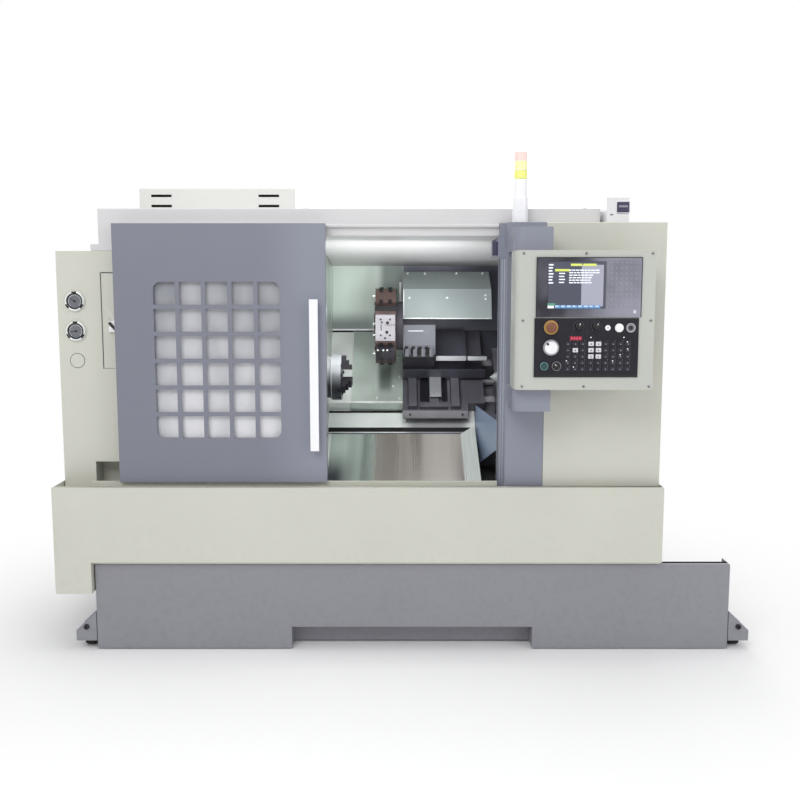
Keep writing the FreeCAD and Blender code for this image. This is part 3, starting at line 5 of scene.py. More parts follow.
import bmesh
import bpy
import numpy as np
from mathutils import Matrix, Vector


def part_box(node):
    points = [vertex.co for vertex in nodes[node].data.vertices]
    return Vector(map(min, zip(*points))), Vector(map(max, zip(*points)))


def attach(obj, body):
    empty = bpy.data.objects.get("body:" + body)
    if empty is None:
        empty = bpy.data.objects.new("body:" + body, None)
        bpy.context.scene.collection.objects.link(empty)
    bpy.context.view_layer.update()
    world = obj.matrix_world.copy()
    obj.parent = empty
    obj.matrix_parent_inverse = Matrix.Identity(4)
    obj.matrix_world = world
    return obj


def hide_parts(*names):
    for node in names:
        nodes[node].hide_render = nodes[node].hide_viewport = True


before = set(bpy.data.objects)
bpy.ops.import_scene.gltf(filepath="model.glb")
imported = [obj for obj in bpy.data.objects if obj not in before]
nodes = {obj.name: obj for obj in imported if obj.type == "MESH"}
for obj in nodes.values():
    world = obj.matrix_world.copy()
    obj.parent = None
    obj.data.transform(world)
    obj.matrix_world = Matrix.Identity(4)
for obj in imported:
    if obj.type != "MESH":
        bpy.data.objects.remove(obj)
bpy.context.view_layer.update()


# ------------------------------------------------------------------ finishes
def seen(red, green, blue):
    """Linear colour of a screen colour given in 0..255."""
    return tuple(((v / 255.0 + 0.055) / 1.055) ** 2.4 if v > 10 else v / 255.0 / 12.92
                 for v in (red, green, blue)) + (1.0,)


def shade(colour, factor):
    """Colour made darker or lighter."""
    return tuple(min(1.0, c * factor) for c in colour[:3]) + (1.0,)


class Socket:
    """One node output. Sums, products and comparisons on it add Math nodes."""

    def __init__(self, finish, output):
        self.finish = finish
        self.output = output

    def maths(self, operation, *values):
        """One Math node on the values, or on links to them."""
        return self.finish.node("ShaderNodeMath", {"operation": operation}, *values)

    def __add__(self, other):
        return self.maths("ADD", self, other)

    __radd__ = __add__

    def __mul__(self, other):
        return self.maths("MULTIPLY", self, other)

    __rmul__ = __mul__

    def __sub__(self, other):
        return self.maths("SUBTRACT", self, other)

    def __rsub__(self, other):
        return self.maths("SUBTRACT", other, self)

    def ramp(self, low, high):
        """0 below low and 1 above high, eased between."""
        return self.finish.node("ShaderNodeMapRange", {"interpolation_type": "SMOOTHSTEP"},
                                self, low, high, 0.0, 1.0)

    def between(self, rise_start, rise_end, fall_start, fall_end):
        """1 between a rise and a fall, 0 outside them."""
        return self.ramp(rise_start, rise_end) * (1.0 - self.ramp(fall_start, fall_end))


class Finish:
    """A procedural material read in the part's own coordinates."""

    def __init__(self, name):
        self.material = bpy.data.materials.new(name)
        self.material.use_nodes = True
        self.tree = self.material.node_tree
        self.shader = self.tree.nodes["Principled BSDF"]
        self.place = self.node("ShaderNodeTexCoord", {}, out="Object")
        axes = self.node("ShaderNodeSeparateXYZ", {}, self.place, out=None)
        self.x, self.y, self.z = (Socket(self, axes.outputs[i]) for i in range(3))

    def node(self, kind, settings, *values, out=0, at=None):
        """Adds a node: settings first, then values or links in socket order, then those given by index."""
        made = self.tree.nodes.new(kind)
        for key, value in settings.items():
            setattr(made, key, value)
        for index, value in list(enumerate(values)) + list((at or {}).items()):
            self._feed(made.inputs[index], value)
        return made if out is None else Socket(self, made.outputs[out])

    def _feed(self, socket, value):
        """Links a Socket and sets anything else but None as the input's own value."""
        if isinstance(value, Socket):
            self.tree.links.new(value.output, socket)
        elif value is not None:
            socket.default_value = value

    def stretched(self, x, y, z):
        """The part's coordinates, stretched by three factors."""
        return self.node("ShaderNodeVectorMath", {"operation": "MULTIPLY"}, self.place, (x, y, z))

    def noise(self, scale, detail, place=None):
        """Cloudy pattern from 0 to 1, about 0.5."""
        return self.node("ShaderNodeTexNoise", {}, place or self.place, None, scale, detail)

    def mix(self, share, first, second):
        """Colour that goes from first to second as share goes from 0 to 1."""
        return self.node("ShaderNodeMix", {"data_type": "RGBA"}, at={0: share, 6: first, 7: second}, out=2)

    def bump(self, height, strength, distance):
        """Normal that follows a height pattern."""
        return self.node("ShaderNodeBump", {}, at={0: strength, 1: distance, "Height": height})

    def surface(self, **sockets):
        """Values or links of the shader, by its sockets' names with low lines for blanks."""
        for key, value in sockets.items():
            self._feed(self.shader.inputs[key.replace("_", " ")], value)
        return self


SIDE_BLUR = 0.0004


def paint(name, colour, rough=0.36, cloud=0.035, peel=0.12, dust=0.10, coat=0.0, painted_light_sweep=None, inner=None):
    """Sprayed enamel: orange peel, faint clouds of tone and a little dust low down.

    The painted light sweep holds two X values and a factor: between them the tone rises to the factor, as
    painted light.
    inner holds an axis, a place on it and the painted shade of the sides below that place, which face the
    work area.
    """
    cloud_scale, dust_scale, peel_scale, dust_top = 2.3, 38.0, 420.0, 0.9
    f = Finish(name)
    tone = f.noise(cloud_scale, 4.0)
    fine = f.noise(dust_scale, 3.0)
    low = (1.0 - f.z.ramp(0.0, dust_top)) * fine.ramp(0.42, 0.75) * dust
    clean = f.mix(tone, shade(colour, 1.0 - 2.2 * cloud), shade(colour, 1.0 + cloud))
    # Painted light: the tone rises across X where more light falls on the part.
    if painted_light_sweep:
        clean = f.mix(f.x.ramp(*painted_light_sweep[:2]) * 0.85, clean, shade(colour, painted_light_sweep[2]))
    # Painted shade: the sides facing the work area take a dark grey.
    if inner:
        axis, limit, dark = inner
        clean = f.mix(getattr(f, axis).ramp(limit - SIDE_BLUR, limit + SIDE_BLUR), dark, clean)
    base = f.mix(low, clean, shade(colour, 0.55))
    f.surface(Base_Color=base, Roughness=rough + (fine - 0.5) * 0.12 + low * 0.2,
              Normal=f.bump(f.noise(peel_scale, 1.0), peel, 0.0004), Coat_Roughness=0.15, Coat_Weight=coat)
    return f


FINE_STREAKS = (3.0, 120.0, 120.0)
BROAD_WIPES = (4.0, 4.0, 1.4)
WIPE_EDGE = (0.36, 0.64)


def brushed(name, colour, rough=0.30, dark=0.62, metallic=0.45, beyond=None, patches=()):
    """Brushed sheet: fine streaks along X, with broad smudges of wiped coolant.

    beyond holds an X value and the colour of the sheet to the right of it.
    Each patch holds the X and Z values it rises and falls between, its share and its colour.
    """
    f = Finish(name)
    line = f.noise(1.0, 2.0, f.stretched(*FINE_STREAKS))
    wipe = f.noise(1.0, 1.5, f.stretched(*BROAD_WIPES)).ramp(*WIPE_EDGE)
    share = line * 0.04 + wipe * 0.96
    base = f.mix(share, shade(colour, dark), colour)
    if beyond:
        limit, further = beyond
        base = f.mix(f.x.ramp(limit - 0.002, limit + 0.002), base, f.mix(share, shade(further, 0.7), further))
    for x, z, depth, tint in patches:
        base = f.mix(f.x.between(*x) * f.z.between(*z) * depth, base, tint)
    f.surface(Base_Color=base, Metallic=metallic, Roughness=rough + (line - 0.5) * 0.04,
              Normal=f.bump(line, 0.012, 0.0002))
    return f


def chute_plate():
    """Chip tray: warm grey, greenish to the left where it mirrors the wall, painted shadow at its low left
    corner.
    """
    streaks_down, wipes_down = (260.0, 3.0, 3.0), (9.0, 0.4, 0.4)
    green_end, bent_side = (-0.155, -0.115), (0.266, 0.270)
    f = Finish("brushed chute")
    line = f.noise(1.0, 2.0, f.stretched(*streaks_down))
    wipe = f.noise(1.0, 1.5, f.stretched(*wipes_down)).ramp(*WIPE_EDGE)
    share = line * 0.10 + wipe * 0.90
    base = f.mix(f.x.ramp(*green_end), f.mix(share, seen(134, 145, 139), seen(204, 217, 210)),
                 f.mix(share, seen(148, 142, 136), seen(210, 204, 198)))
    # Painted shadow at the low left corner.
    corner = (1.0 - f.z.ramp(0.67, 0.77)) * (1.0 - f.x.ramp(-0.31, -0.21))
    base = f.mix(corner * 0.95, base, seen(54, 56, 66))
    # Painted highlight: the bent right side near white.
    bent = f.mix(line, seen(206, 214, 208), seen(246, 250, 246))
    f.surface(Base_Color=f.mix(f.x.ramp(*bent_side), base, bent), Metallic=0.45,
              Roughness=0.30 + (line - 0.5) * 0.08 + (wipe - 0.5) * 0.10, Normal=f.bump(line, 0.025, 0.0002))
    return f


OIL_SCALE = 9.0


def chuck_finish():
    """Turned steel of the chuck: bright on top, dark below where it mirrors the floor of the work area."""
    f = Finish("turned chuck")
    film = f.noise(OIL_SCALE, 4.0)
    base = f.mix(f.z.ramp(1.05, 1.19), seen(62, 62, 70), seen(206, 209, 214))
    f.surface(Base_Color=base, Metallic=0.5, Roughness=0.32 + (film - 0.5) * 0.12)
    return f


def machined(name, colour, rough=0.34, grain=180.0, oil=0.35, metallic=0.9):
    """Ground or turned steel with an uneven film of oil."""
    f = Finish(name)
    cut = f.noise(grain, 2.0)
    film = f.noise(OIL_SCALE, 4.0)
    f.surface(Base_Color=f.mix(film.ramp(0.35, 0.7), shade(colour, 1.0 - oil), colour), Metallic=metallic,
              Roughness=rough + (cut - 0.5) * 0.1 + (film - 0.5) * 0.12, Normal=f.bump(cut, 0.05, 0.0001))
    return f


def moulded(name, colour, rough=0.42, grain=650.0, height=0.15, shine=0.5):
    """Moulded plastic or rubber with a fine grain."""
    f = Finish(name)
    worn = f.noise(24.0, 3.0)
    light = tuple(min(1.0, c * 1.2 + 0.004) for c in colour[:3]) + (1.0,)
    f.surface(Base_Color=f.mix(worn.ramp(0.3, 0.8), colour, light), Roughness=rough + (worn - 0.5) * 0.14,
              Specular_IOR_Level=shine, Normal=f.bump(f.noise(grain, 2.0), height, 0.0002))
    return f


def lit(name, colour, strength=0.75, grain=900.0):
    """Screen dots, lamps and lit legends: glowing, with a faint grain of picture dots."""
    f = Finish(name)
    dots = f.noise(grain, 1.0)
    glow = f.mix(dots, shade(colour, 0.8), colour)
    f.surface(Base_Color=shade(colour, 0.5), Roughness=0.25 + dots * 0.1, Emission_Color=glow,
              Emission_Strength=strength)
    return f


def window_pane():
    """Toughened glass, its colour a painted reflection of the room: pale, brighter low down, a little
    streaked.
    """
    f = Finish("window glass")
    streak = f.noise(1.0, 3.0, f.stretched(5.0, 5.0, 1.6))
    low_down = 1.0 - f.z.ramp(0.95, 1.50)
    room = streak.ramp(0.35, 0.65) * 0.35 + low_down * 0.45 + f.x.ramp(-1.02, -0.9) * 0.2
    f.surface(Base_Color=f.mix(room, seen(160, 163, 172), seen(240, 240, 243)),
              Roughness=0.05 + streak * 0.06, Alpha=0.62 + room * 0.24)
    return f


def display_plate():
    """Glossy display plate: broad soft patches of the mirrored room, paler to the right."""
    f = Finish("display plate")
    patch = f.noise(6.0, 2.0).ramp(0.38, 0.66)
    share = patch * 0.24 + f.x.ramp(0.60, 0.84) * 0.62
    f.surface(Base_Color=f.mix(share, seen(44, 43, 52), seen(160, 160, 174)), Roughness=0.16 + patch * 0.08,
              Specular_IOR_Level=0.35)
    return f


def housing_enamel():
    """Enamelled tool housing, darker above and below its manifold and on the disc's neck."""
    f = Finish("housing enamel")
    film = f.noise(8.0, 4.0)
    clean = f.mix(film, seen(88, 90, 97), seen(104, 106, 113))
    manifold = f.z.between(1.174, 1.178, 1.3275, 1.3305) * f.x.ramp(-0.0045, -0.0038)
    f.surface(Base_Color=f.mix(manifold, seen(52, 51, 58), clean), Roughness=0.38 + film * 0.1,
              Normal=f.bump(f.noise(300.0, 2.0), 0.1, 0.0003))
    return f


RIBS_PER_METRE = 1400.0


def lens(name, colour):
    """Ribbed lamp lens, lit faintly from inside."""
    f = Finish(name)
    rib = f.node("ShaderNodeMath", {"operation": "SINE"}, f.z * RIBS_PER_METRE)
    crest = rib * 0.5 + 0.5
    f.surface(Base_Color=f.mix(crest, shade(colour, 0.86), colour), Roughness=0.22 + rib * 0.05,
              Emission_Color=f.mix(crest, shade(colour, 0.7), colour), Emission_Strength=0.25,
              Normal=f.bump(rib, 0.4, 0.0006))
    return f


CREAM = seen(207, 207, 196)
PALE_GREEN = seen(226, 240, 231)
# Blue-grey of the wall sheet to the right of the middle.
WALL_RIGHT_GREY = seen(116, 118, 130)
cream = paint("cream enamel", CREAM)
# Their sides that face the work area are painted dark grey as shade.
cabinet_cream_shaded_side = paint("cabinet enamel, side", CREAM, inner=("x", 0.5712, seen(70, 72, 84)))
rear_cream_shaded_side = paint("cabinet enamel, rear", CREAM, inner=("y", 0.5285, seen(66, 68, 78)))
pale_cream = paint("cabinet enamel", seen(226, 226, 222))
panel_cream = paint("panel enamel", seen(193, 195, 188))
# The roof's enamel is a paler, whiter copy of the cream: painted light.
hood_cream_painted_light = paint("roof enamel", seen(216, 215, 216))
# The slate rises in tone to the right: painted light.
slate = paint("slate enamel", seen(124, 127, 139), rough=0.34, coat=0.1, painted_light_sweep=(-0.62, -0.36, 1.30))
# Pale slate for the door post's folds: painted highlights.
fold_highlight = paint("slate enamel, fold highlight", seen(178, 182, 194), dust=0.0)
blue_sheet = paint("blue-grey sheet", seen(134, 152, 178), rough=0.30)
tank_grey = paint("tank enamel", seen(142, 142, 149), rough=0.42, dust=0.16)

# Patches of the brushed sheets: X values, Z values, share and colour of each.
# Painted highlight: a near white line along the lip of the covers.
COVER_LIP_HIGHLIGHT = ((-0.3642, -0.3640, -0.0060, -0.0050), (0.9490, 0.9495, 0.9570, 0.9575), 0.85,
             seen(252, 255, 254))
# Painted shadow: near black strips either side of the saddle's throat.
THROAT_SIDE_SHADOWS = [((left, left + 0.0005, right - 0.0005, right), (0.953, 0.956, 1.088, 1.09), 0.9,
                 seen(24, 24, 28)) for left, right in ((0.0785, 0.1245), (0.1855, 0.2135))]
# Painted shade: a darker patch high on the back wall.
WALL_CORNER_SHADE = ((-0.14, -0.09, -0.0045, -0.004), (1.39, 1.45, 1.60, 1.66), 0.85, seen(112, 122, 118))
# Painted shade: a darker band low on the back wall, by the left wall.
WALL_FOOT_SHADE = ((-0.366, -0.3655, -0.19, -0.09), (1.270, 1.275, 1.31, 1.40), 0.85, seen(112, 120, 118))
# A darker greenish patch on the saddle's slope.
SADDLE_DARK_PATCH = ((-0.135, -0.105, -0.075, -0.045), (0.98, 1.03, 1.08, 1.15), 0.65, seen(84, 98, 90))
APRON_SHADE = ((-0.02, 0.06, 0.27, 0.33), (0.80, 0.805, 0.90, 0.91), 0.85, seen(142, 140, 145))
stainless = brushed("brushed stainless", PALE_GREEN, patches=[COVER_LIP_HIGHLIGHT])
wall_sheet = brushed("brushed wall", PALE_GREEN, beyond=(-0.002, WALL_RIGHT_GREY), patches=[WALL_CORNER_SHADE, WALL_FOOT_SHADE])
saddle_sheet = brushed("saddle sheet", PALE_GREEN, beyond=(-0.0045, seen(116, 115, 125)),
                       patches=[SADDLE_DARK_PATCH, COVER_LIP_HIGHLIGHT, *THROAT_SIDE_SHADOWS])
lower_sheet = brushed("lower cover sheet", seen(250, 255, 252), dark=0.80, metallic=0.25,
                      patches=[COVER_LIP_HIGHLIGHT, APRON_SHADE])
chute_sheet = chute_plate()
guard_sheet = brushed("guard sheet", seen(158, 168, 168), dark=0.86)
slide_sheet = brushed("slide sheet", seen(104, 104, 116), rough=0.34)
housing = housing_enamel()
iron = machined("oiled casting", seen(112, 112, 120), rough=0.42, grain=90.0, metallic=0.4)
steel = machined("ground steel", seen(196, 198, 202), rough=0.26, oil=0.22, metallic=0.7)
chuck_steel = chuck_finish()
bright = machined("polished edge", seen(232, 236, 234), rough=0.22, oil=0.06, metallic=0.4)
dark_steel = machined("dark machined steel", seen(62, 60, 66), rough=0.36, metallic=0.5)
bronze_iron = machined("bronzed tool disc", seen(90, 73, 69), rough=0.40, grain=120.0, metallic=0.3)
pale_steel = machined("pale tool holder", seen(134, 132, 137), rough=0.36, oil=0.12, metallic=0.2)
casting = paint("casting enamel", seen(120, 122, 126), rough=0.5, peel=0.3)
white_gloss = paint("white lacquer", seen(248, 248, 250), rough=0.22, coat=0.4, cloud=0.01, dust=0.0)
unit_white = paint("roof unit lacquer", seen(232, 231, 234), rough=0.35, cloud=0.02, dust=0.0)
black = moulded("black plastic", seen(24, 24, 27))
# Near black: the colour of dark parts, and painted shade in holes, slots, grooves and gaps.
hollow = moulded("dark recess", seen(16, 16, 18), rough=0.7)
rubber = moulded("caster tyre", seen(26, 26, 28), rough=0.62)
charcoal = moulded("charcoal face", seen(34, 33, 40), rough=0.45, shine=0.22)
key_dark = moulded("dark key", seen(46, 45, 53), rough=0.45, shine=0.25)
key_pale = moulded("pale key", seen(210, 208, 212), rough=0.36)
legend = moulded("printed mark", seen(140, 140, 148), rough=0.5)
seam = moulded("shadowed seam", seen(74, 74, 78), rough=0.6)
bezel_grey = display_plate()
dial_grey = moulded("gauge dial", seen(104, 106, 112), rough=0.24, height=0.04)
key_grey = moulded("display key", seen(150, 150, 162), rough=0.30, height=0.04)
amber = moulded("stop collar", seen(176, 136, 70), rough=0.30, height=0.04)
orange = moulded("stop button", seen(122, 76, 54), rough=0.30, height=0.04)
teal = moulded("start button", seen(34, 70, 72), rough=0.22, height=0.04)
ring_teal = machined("start ring", seen(120, 158, 156), rough=0.3, grain=300.0, oil=0.15, metallic=0.5)
ivory = moulded("pale dial", seen(240, 239, 242), rough=0.30, height=0.04)
red = moulded("red handle", seen(178, 44, 36), rough=0.30, height=0.04)
yellow = moulded("yellow plate", seen(214, 180, 52), rough=0.34, height=0.04)
zinc = machined("zinc plated", seen(168, 170, 173), rough=0.32, oil=0.12, metallic=0.45)
smoke = moulded("smoked window", seen(60, 56, 84), rough=0.16, height=0.02)
screen_dark = lit("screen ground", seen(86, 88, 106), 0.35)
screen_pale = lit("screen ground, pale", seen(176, 177, 194), 0.5)
screen_white = lit("screen rows", seen(236, 240, 248), 0.8)
screen_yellow = lit("screen bars, yellow", seen(222, 232, 116), 0.7)
screen_green = lit("screen cell, green", seen(88, 160, 132), 0.6)
screen_blue = lit("screen cells, blue", seen(110, 160, 212), 0.6)
red_digits = lit("red digits", seen(250, 100, 124), 0.9)
red_window = moulded("digit window", seen(130, 20, 46), rough=0.2, height=0.02)
glass = window_pane()
lens_red = lens("red lens", seen(246, 214, 206))
lens_yellow = lens("yellow lens", seen(250, 240, 178))
lens_green = lens("green lens", seen(234, 238, 132))

# The finish of each CAD node.
coats = {
    cream: "lower_front_cover left_cover access_door",
    panel_cream: "operator_panel",
    rear_cream_shaded_side: "rear_cover",
    cabinet_cream_shaded_side: "right_cabinet",
    pale_cream: "electrical_cabinet electrical_door",
    hood_cream_painted_light: "roof_hood",
    unit_white: "roof_unit",
    slate: "door_post sliding_door panel_brackets",
    blue_sheet: "tail_guard",
    tank_grey: "coolant_tank",
    stainless: "inner_left_wall way_cover_middle",
    lower_sheet: "way_cover_fixed",
    wall_sheet: "back_wall",
    guard_sheet: "turret_guard",
    slide_sheet: "cross_slide",
    saddle_sheet: "saddle",
    chute_sheet: "chute_panel",
    housing: "turret_housing",
    iron: "bed_casting headstock tailstock",
    steel: "bed_rails spindle ball_screw quill live_centre",
    chuck_steel: "chuck_body",
    dark_steel: "chuck_jaw_1 chuck_jaw_2 chuck_jaw_3",
    pale_steel: "boring_holder",
    bronze_iron: "turret_disc",
    casting: "spindle_motor z_drive",
    white_gloss: "door_handle signal_tower",
    black: "pressure_gauges feed_knob speed_knob mode_knob",
    red: "main_switch",
    charcoal: "machine_board",
    bezel_grey: "display_unit",
    orange: "stop_button",
    teal: "start_button",
    ivory: "hand_wheel",
    rubber: "wheel_front_left wheel_front_right wheel_rear_left wheel_rear_right",
    zinc: "caster_fork_left caster_fork_right levelling_feet",
    glass: "door_glass",
}
for finish, names in coats.items():
    for name in names.split():
        nodes[name].data.materials.clear()
        nodes[name].data.materials.append(finish.material)


# ------------------------------------------------------------------ edges of the CAD pieces
def smoothing(angle):
    """Node group that shades smooth across edges flatter than an angle and leaves the others crisp."""
    group = bpy.data.node_groups.new("smooth_flat_edges", "GeometryNodeTree")
    group.interface.new_socket("Geometry", in_out="INPUT", socket_type="NodeSocketGeometry")
    group.interface.new_socket("Geometry", in_out="OUTPUT", socket_type="NodeSocketGeometry")
    start = group.nodes.new("NodeGroupInput")
    end = group.nodes.new("NodeGroupOutput")
    faces = group.nodes.new("GeometryNodeSetShadeSmooth")
    edges = group.nodes.new("GeometryNodeSetShadeSmooth")
    edges.domain = "EDGE"
    edges.inputs["Shade Smooth"].default_value = False
    bend = group.nodes.new("GeometryNodeInputMeshEdgeAngle")
    sharp = group.nodes.new("FunctionNodeCompare")
    sharp.operation = "GREATER_THAN"
    sharp.inputs[1].default_value = angle
    for source, target in ((start.outputs[0], faces.inputs["Geometry"]),
                           (faces.outputs[0], edges.inputs["Geometry"]),
                           (bend.outputs["Unsigned Angle"], sharp.inputs[0]),
                           (sharp.outputs[0], edges.inputs["Selection"]), (edges.outputs[0], end.inputs[0])):
        group.links.new(source, target)
    return group


smooth_group = smoothing(math.radians(38.0))
BROKEN_EDGE = {
    0.0070: "operator_panel",
    0.0030: "coolant_tank lower_front_cover left_cover right_cabinet roof_hood door_post sliding_door "
            "electrical_cabinet roof_unit rear_cover panel_brackets electrical_door",
    0.0015: "access_door door_handle bed_casting headstock tailstock turret_housing turret_disc "
            "spindle_motor z_drive boring_holder chuck_body cross_slide saddle way_cover_fixed "
            "way_cover_middle turret_guard tail_guard chute_panel display_unit chuck_jaw_1 chuck_jaw_2 "
            "chuck_jaw_3 back_wall inner_left_wall quill",
}


def broken_edges():
    """Welds each CAD mesh, breaks its sharp edges by a small radius and smooths its round faces."""
    radius_of = {name: radius for radius, names in BROKEN_EDGE.items() for name in names.split()}
    for name, part in nodes.items():
        weld = part.modifiers.new("weld", "WELD")
        weld.merge_threshold = 1e-5
        part.modifiers.new("smooth", "NODES").node_group = smooth_group
        if name in radius_of:
            bevel = part.modifiers.new("broken edges", "BEVEL")
            bevel.harden_normals = True
            bevel.width = radius_of[name]
            bevel.segments = 2
            bevel.limit_method = "ANGLE"
            bevel.angle_limit = math.radians(45.0)
            bevel.use_clamp_overlap = True


broken_edges()


# ------------------------------------------------------------------ surfaces
def facing(across, upward):
    """Seat directions as three unit rows: across, upward, and out of the seat."""
    a = np.array(across, float) / np.linalg.norm(across)
    b = np.array(upward, float) / np.linalg.norm(upward)
    return np.stack([a, b, np.cross(a, b)])


FRONT = facing((1, 0, 0), (0, 0, 1))
BACK = facing((-1, 0, 0), (0, 0, 1))
LEFT = facing((0, -1, 0), (0, 0, 1))
RIGHT = facing((0, 1, 0), (0, 0, 1))
UP = facing((1, 0, 0), (0, 1, 0))
FULL_TURN = 2.0 * np.pi


def turned_seat(directions, angle):
    """Seat directions turned about their own outward axis."""
    a, b, out = directions
    cos, sin = math.cos(angle), math.sin(angle)
    return np.stack([a * cos + b * sin, b * cos - a * sin, out])


def middle_of(low, high):
    """Middle of a box, from its two corners."""
    return (low.x + high.x) / 2, (low.y + high.y) / 2, (low.z + high.z) / 2


def surface(name, finish, body, grids):
    """Mesh over stacked grids, an array (copies, rows, columns, 3). The columns close on themselves."""
    grids = np.asarray(grids, float)
    index = np.arange(grids[..., 0].size).reshape(grids.shape[:3])
    beside = np.roll(index, -1, axis=2)
    quads = np.stack([index[:, :-1], beside[:, :-1], beside[:, 1:], index[:, 1:]], axis=-1).reshape(-1, 4)
    mesh = bpy.data.meshes.new(name)
    mesh.from_pydata(grids.reshape(-1, 3).tolist(), [], quads.tolist())
    shell = bmesh.new()
    shell.from_mesh(mesh)
    bmesh.ops.remove_doubles(shell, verts=shell.verts, dist=2e-6)
    bmesh.ops.recalc_face_normals(shell, faces=shell.faces)
    shell.to_mesh(mesh)
    shell.free()
    mesh.shade_smooth()
    mesh.set_sharp_from_angle(angle=math.radians(36.0))
    mesh.materials.append(finish.material)
    made = bpy.data.objects.new(name, mesh)
    bpy.context.scene.collection.objects.link(made)
    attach(made, body)
    return made


def seated(local, seats, directions):
    """Local (across, upward, out) points carried to their seats."""
    seats = np.asarray(seats, float).reshape(-1, 1, 1, 3)
    turn = np.broadcast_to(directions, (len(seats), 3, 3))
    local = np.broadcast_to(local, (len(seats),) + local.shape[1:])
    return seats + np.einsum("crki,cij->crkj", local, turn)


def slab_grid(seats, size, directions=FRONT, corner=0.0, edge=0.0005, columns=16):
    """Plates, keys and screw heads on a flat seat; size holds width, height and thickness of each.

    Outline, by the turn angle: a quarter circle of the corner radius about each corner's centre.
    Side, by the row: straight up, in over a quarter circle of the edge radius, then to the middle.
    """
    seats = np.asarray(seats, float).reshape(-1, 3)
    size = np.broadcast_to(np.asarray(size, float), (len(seats), 3))
    corner = np.broadcast_to(corner, (len(seats),))
    angle = (np.arange(columns) + 0.5) * FULL_TURN / columns
    ring = np.stack([np.cos(angle), np.sin(angle)], axis=-1)
    lean = np.linspace(0.0, np.pi / 2, 4)
    inset = np.concatenate([[9.0, 0.0], edge * (1 - np.cos(lean)), [9.0]])
    top = size[:, 2:] - edge + edge * np.sin(lean)
    none = np.zeros((len(seats), 2))
    rise = np.concatenate([none, top, size[:, 2:]], axis=1)
    half = np.maximum(size[:, None, :2] / 2 - inset[None, :, None], 0.0)
    radius = np.clip(corner[:, None] - inset[None], 0.0, half.min(axis=-1))
    outline = (half - radius[..., None])[:, :, None] * np.sign(ring) + radius[:, :, None, None] * ring
    rise = np.broadcast_to(rise[:, :, None, None], outline.shape[:3] + (1,))
    return seated(np.concatenate([outline, rise], axis=-1), seats, directions)


MARK_EDGE = 0.0001
PRINTED = {"edge": MARK_EDGE, "columns": 4}


def slabs(name, finish, body, *grid_values, **grid_options):
    """One piece of slabs, from slab_grid's values. PRINTED gives flat marks with four corners."""
    return surface(name, finish, body, slab_grid(*grid_values, **grid_options))


def eased(profile, radius, steps=3):
    """Profile whose inner corners are rounded: a quadratic curve from one radius before to one after each."""
    p = np.asarray(profile, float)
    before, corner, after = p[:-2], p[1:-1], p[2:]
    reach_back = np.linalg.norm(before - corner, axis=1, keepdims=True)
    reach_on = np.linalg.norm(after - corner, axis=1, keepdims=True)
    start = corner + (before - corner) * np.minimum(radius / reach_back, 0.5)
    end = corner + (after - corner) * np.minimum(radius / reach_on, 0.5)
    t = np.linspace(0.0, 1.0, steps + 1)[:, None, None]
    curve = (1 - t) ** 2 * start + 2 * t * (1 - t) * corner + t ** 2 * end
    return np.concatenate([p[:1], curve.transpose(1, 0, 2).reshape(-1, 2), p[-1:]])


def boss(edge, foot, *steps, crown=0.0):
    """Profile of a turned boss: out to the foot's radius, up its (radius, height) steps, in to the middle."""
    return eased([(0.0, 0.0), (foot, 0.0), *steps, (0.0, steps[-1][1] + crown)], edge)


def turned_grid(seats, profile, directions=FRONT, scale=1.0, columns=40, flutes=0, flute_depth=0.0):
    """Turned pieces: a profile of (radius, height) points carried round the axis out of each seat.

    With flutes, the radius of the widest rows dips by flute_depth, as a cosine of the turn angle.
    """
    seats = np.asarray(seats, float).reshape(-1, 3)
    profile = np.asarray(profile, float)
    angle = np.arange(columns) * FULL_TURN / columns
    widest = profile[:, 0] > 0.93 * profile[:, 0].max()
    dip = 1.0 - flute_depth * widest[:, None] * (0.5 - 0.5 * np.cos(flutes * angle))
    radius = profile[:, :1] * dip
    height = np.broadcast_to(profile[:, 1:], radius.shape)
    local = np.stack([radius * np.cos(angle), radius * np.sin(angle), height], axis=-1)[None]
    scale = np.broadcast_to(scale, (len(seats),)).reshape(-1, 1, 1, 1)
    return seated(local * scale, seats, directions)


def turned(name, finish, body, *grid_values, **grid_options):
    """One piece of turned shapes, from turned_grid's values."""
    return surface(name, finish, body, turned_grid(*grid_values, **grid_options))


def carried_grid(path, section, normal):
    """Section of (side, lift) points carried along a path that lies square to the normal.

    At each point the side axis is the path's direction crossed with the normal, and the lift axis is the
    normal. The two ends close on the path.
    """
    path = np.asarray(path, float)
    section = np.asarray(section, float)
    along = np.gradient(path, axis=0)
    along /= np.linalg.norm(along, axis=1, keepdims=True)
    side = np.cross(along, normal)
    rows = path[:, None] + side[:, None] * section[None, :, :1] + np.asarray(normal) * section[None, :, 1:]
    ends = [np.broadcast_to(path[i], rows[:1].shape) for i in (0, -1)]
    return np.concatenate([ends[0], rows, ends[1]])[None]


def round_section(radius, sides=10):
    """Circle of points, at the cosine and sine of each turn angle."""
    angle = np.arange(sides) * FULL_TURN / sides
    return np.stack([radius * np.cos(angle), radius * np.sin(angle)], axis=-1)


def spots(x, y, z):
    """Every combination of the given X, Y and Z values as seat points."""
    return np.stack(np.meshgrid(x, y, z, indexing="ij"), axis=-1).reshape(-1, 3)


DIAL_SPAN = (-0.75 * np.pi, 0.75 * np.pi)
HEAD_PROFILE = np.array([(0.0, 0.35), (0.5, 0.35), (0.5, 0.72), (0.86, 0.72), (1.0, 0.5), (1.0, 0.0),
                         (0.0, 0.0)])
SOCKET_PROFILE = np.array([(0.0, 0.45), (0.5, 0.45), (0.5, 0.3), (0.0, 0.3)])


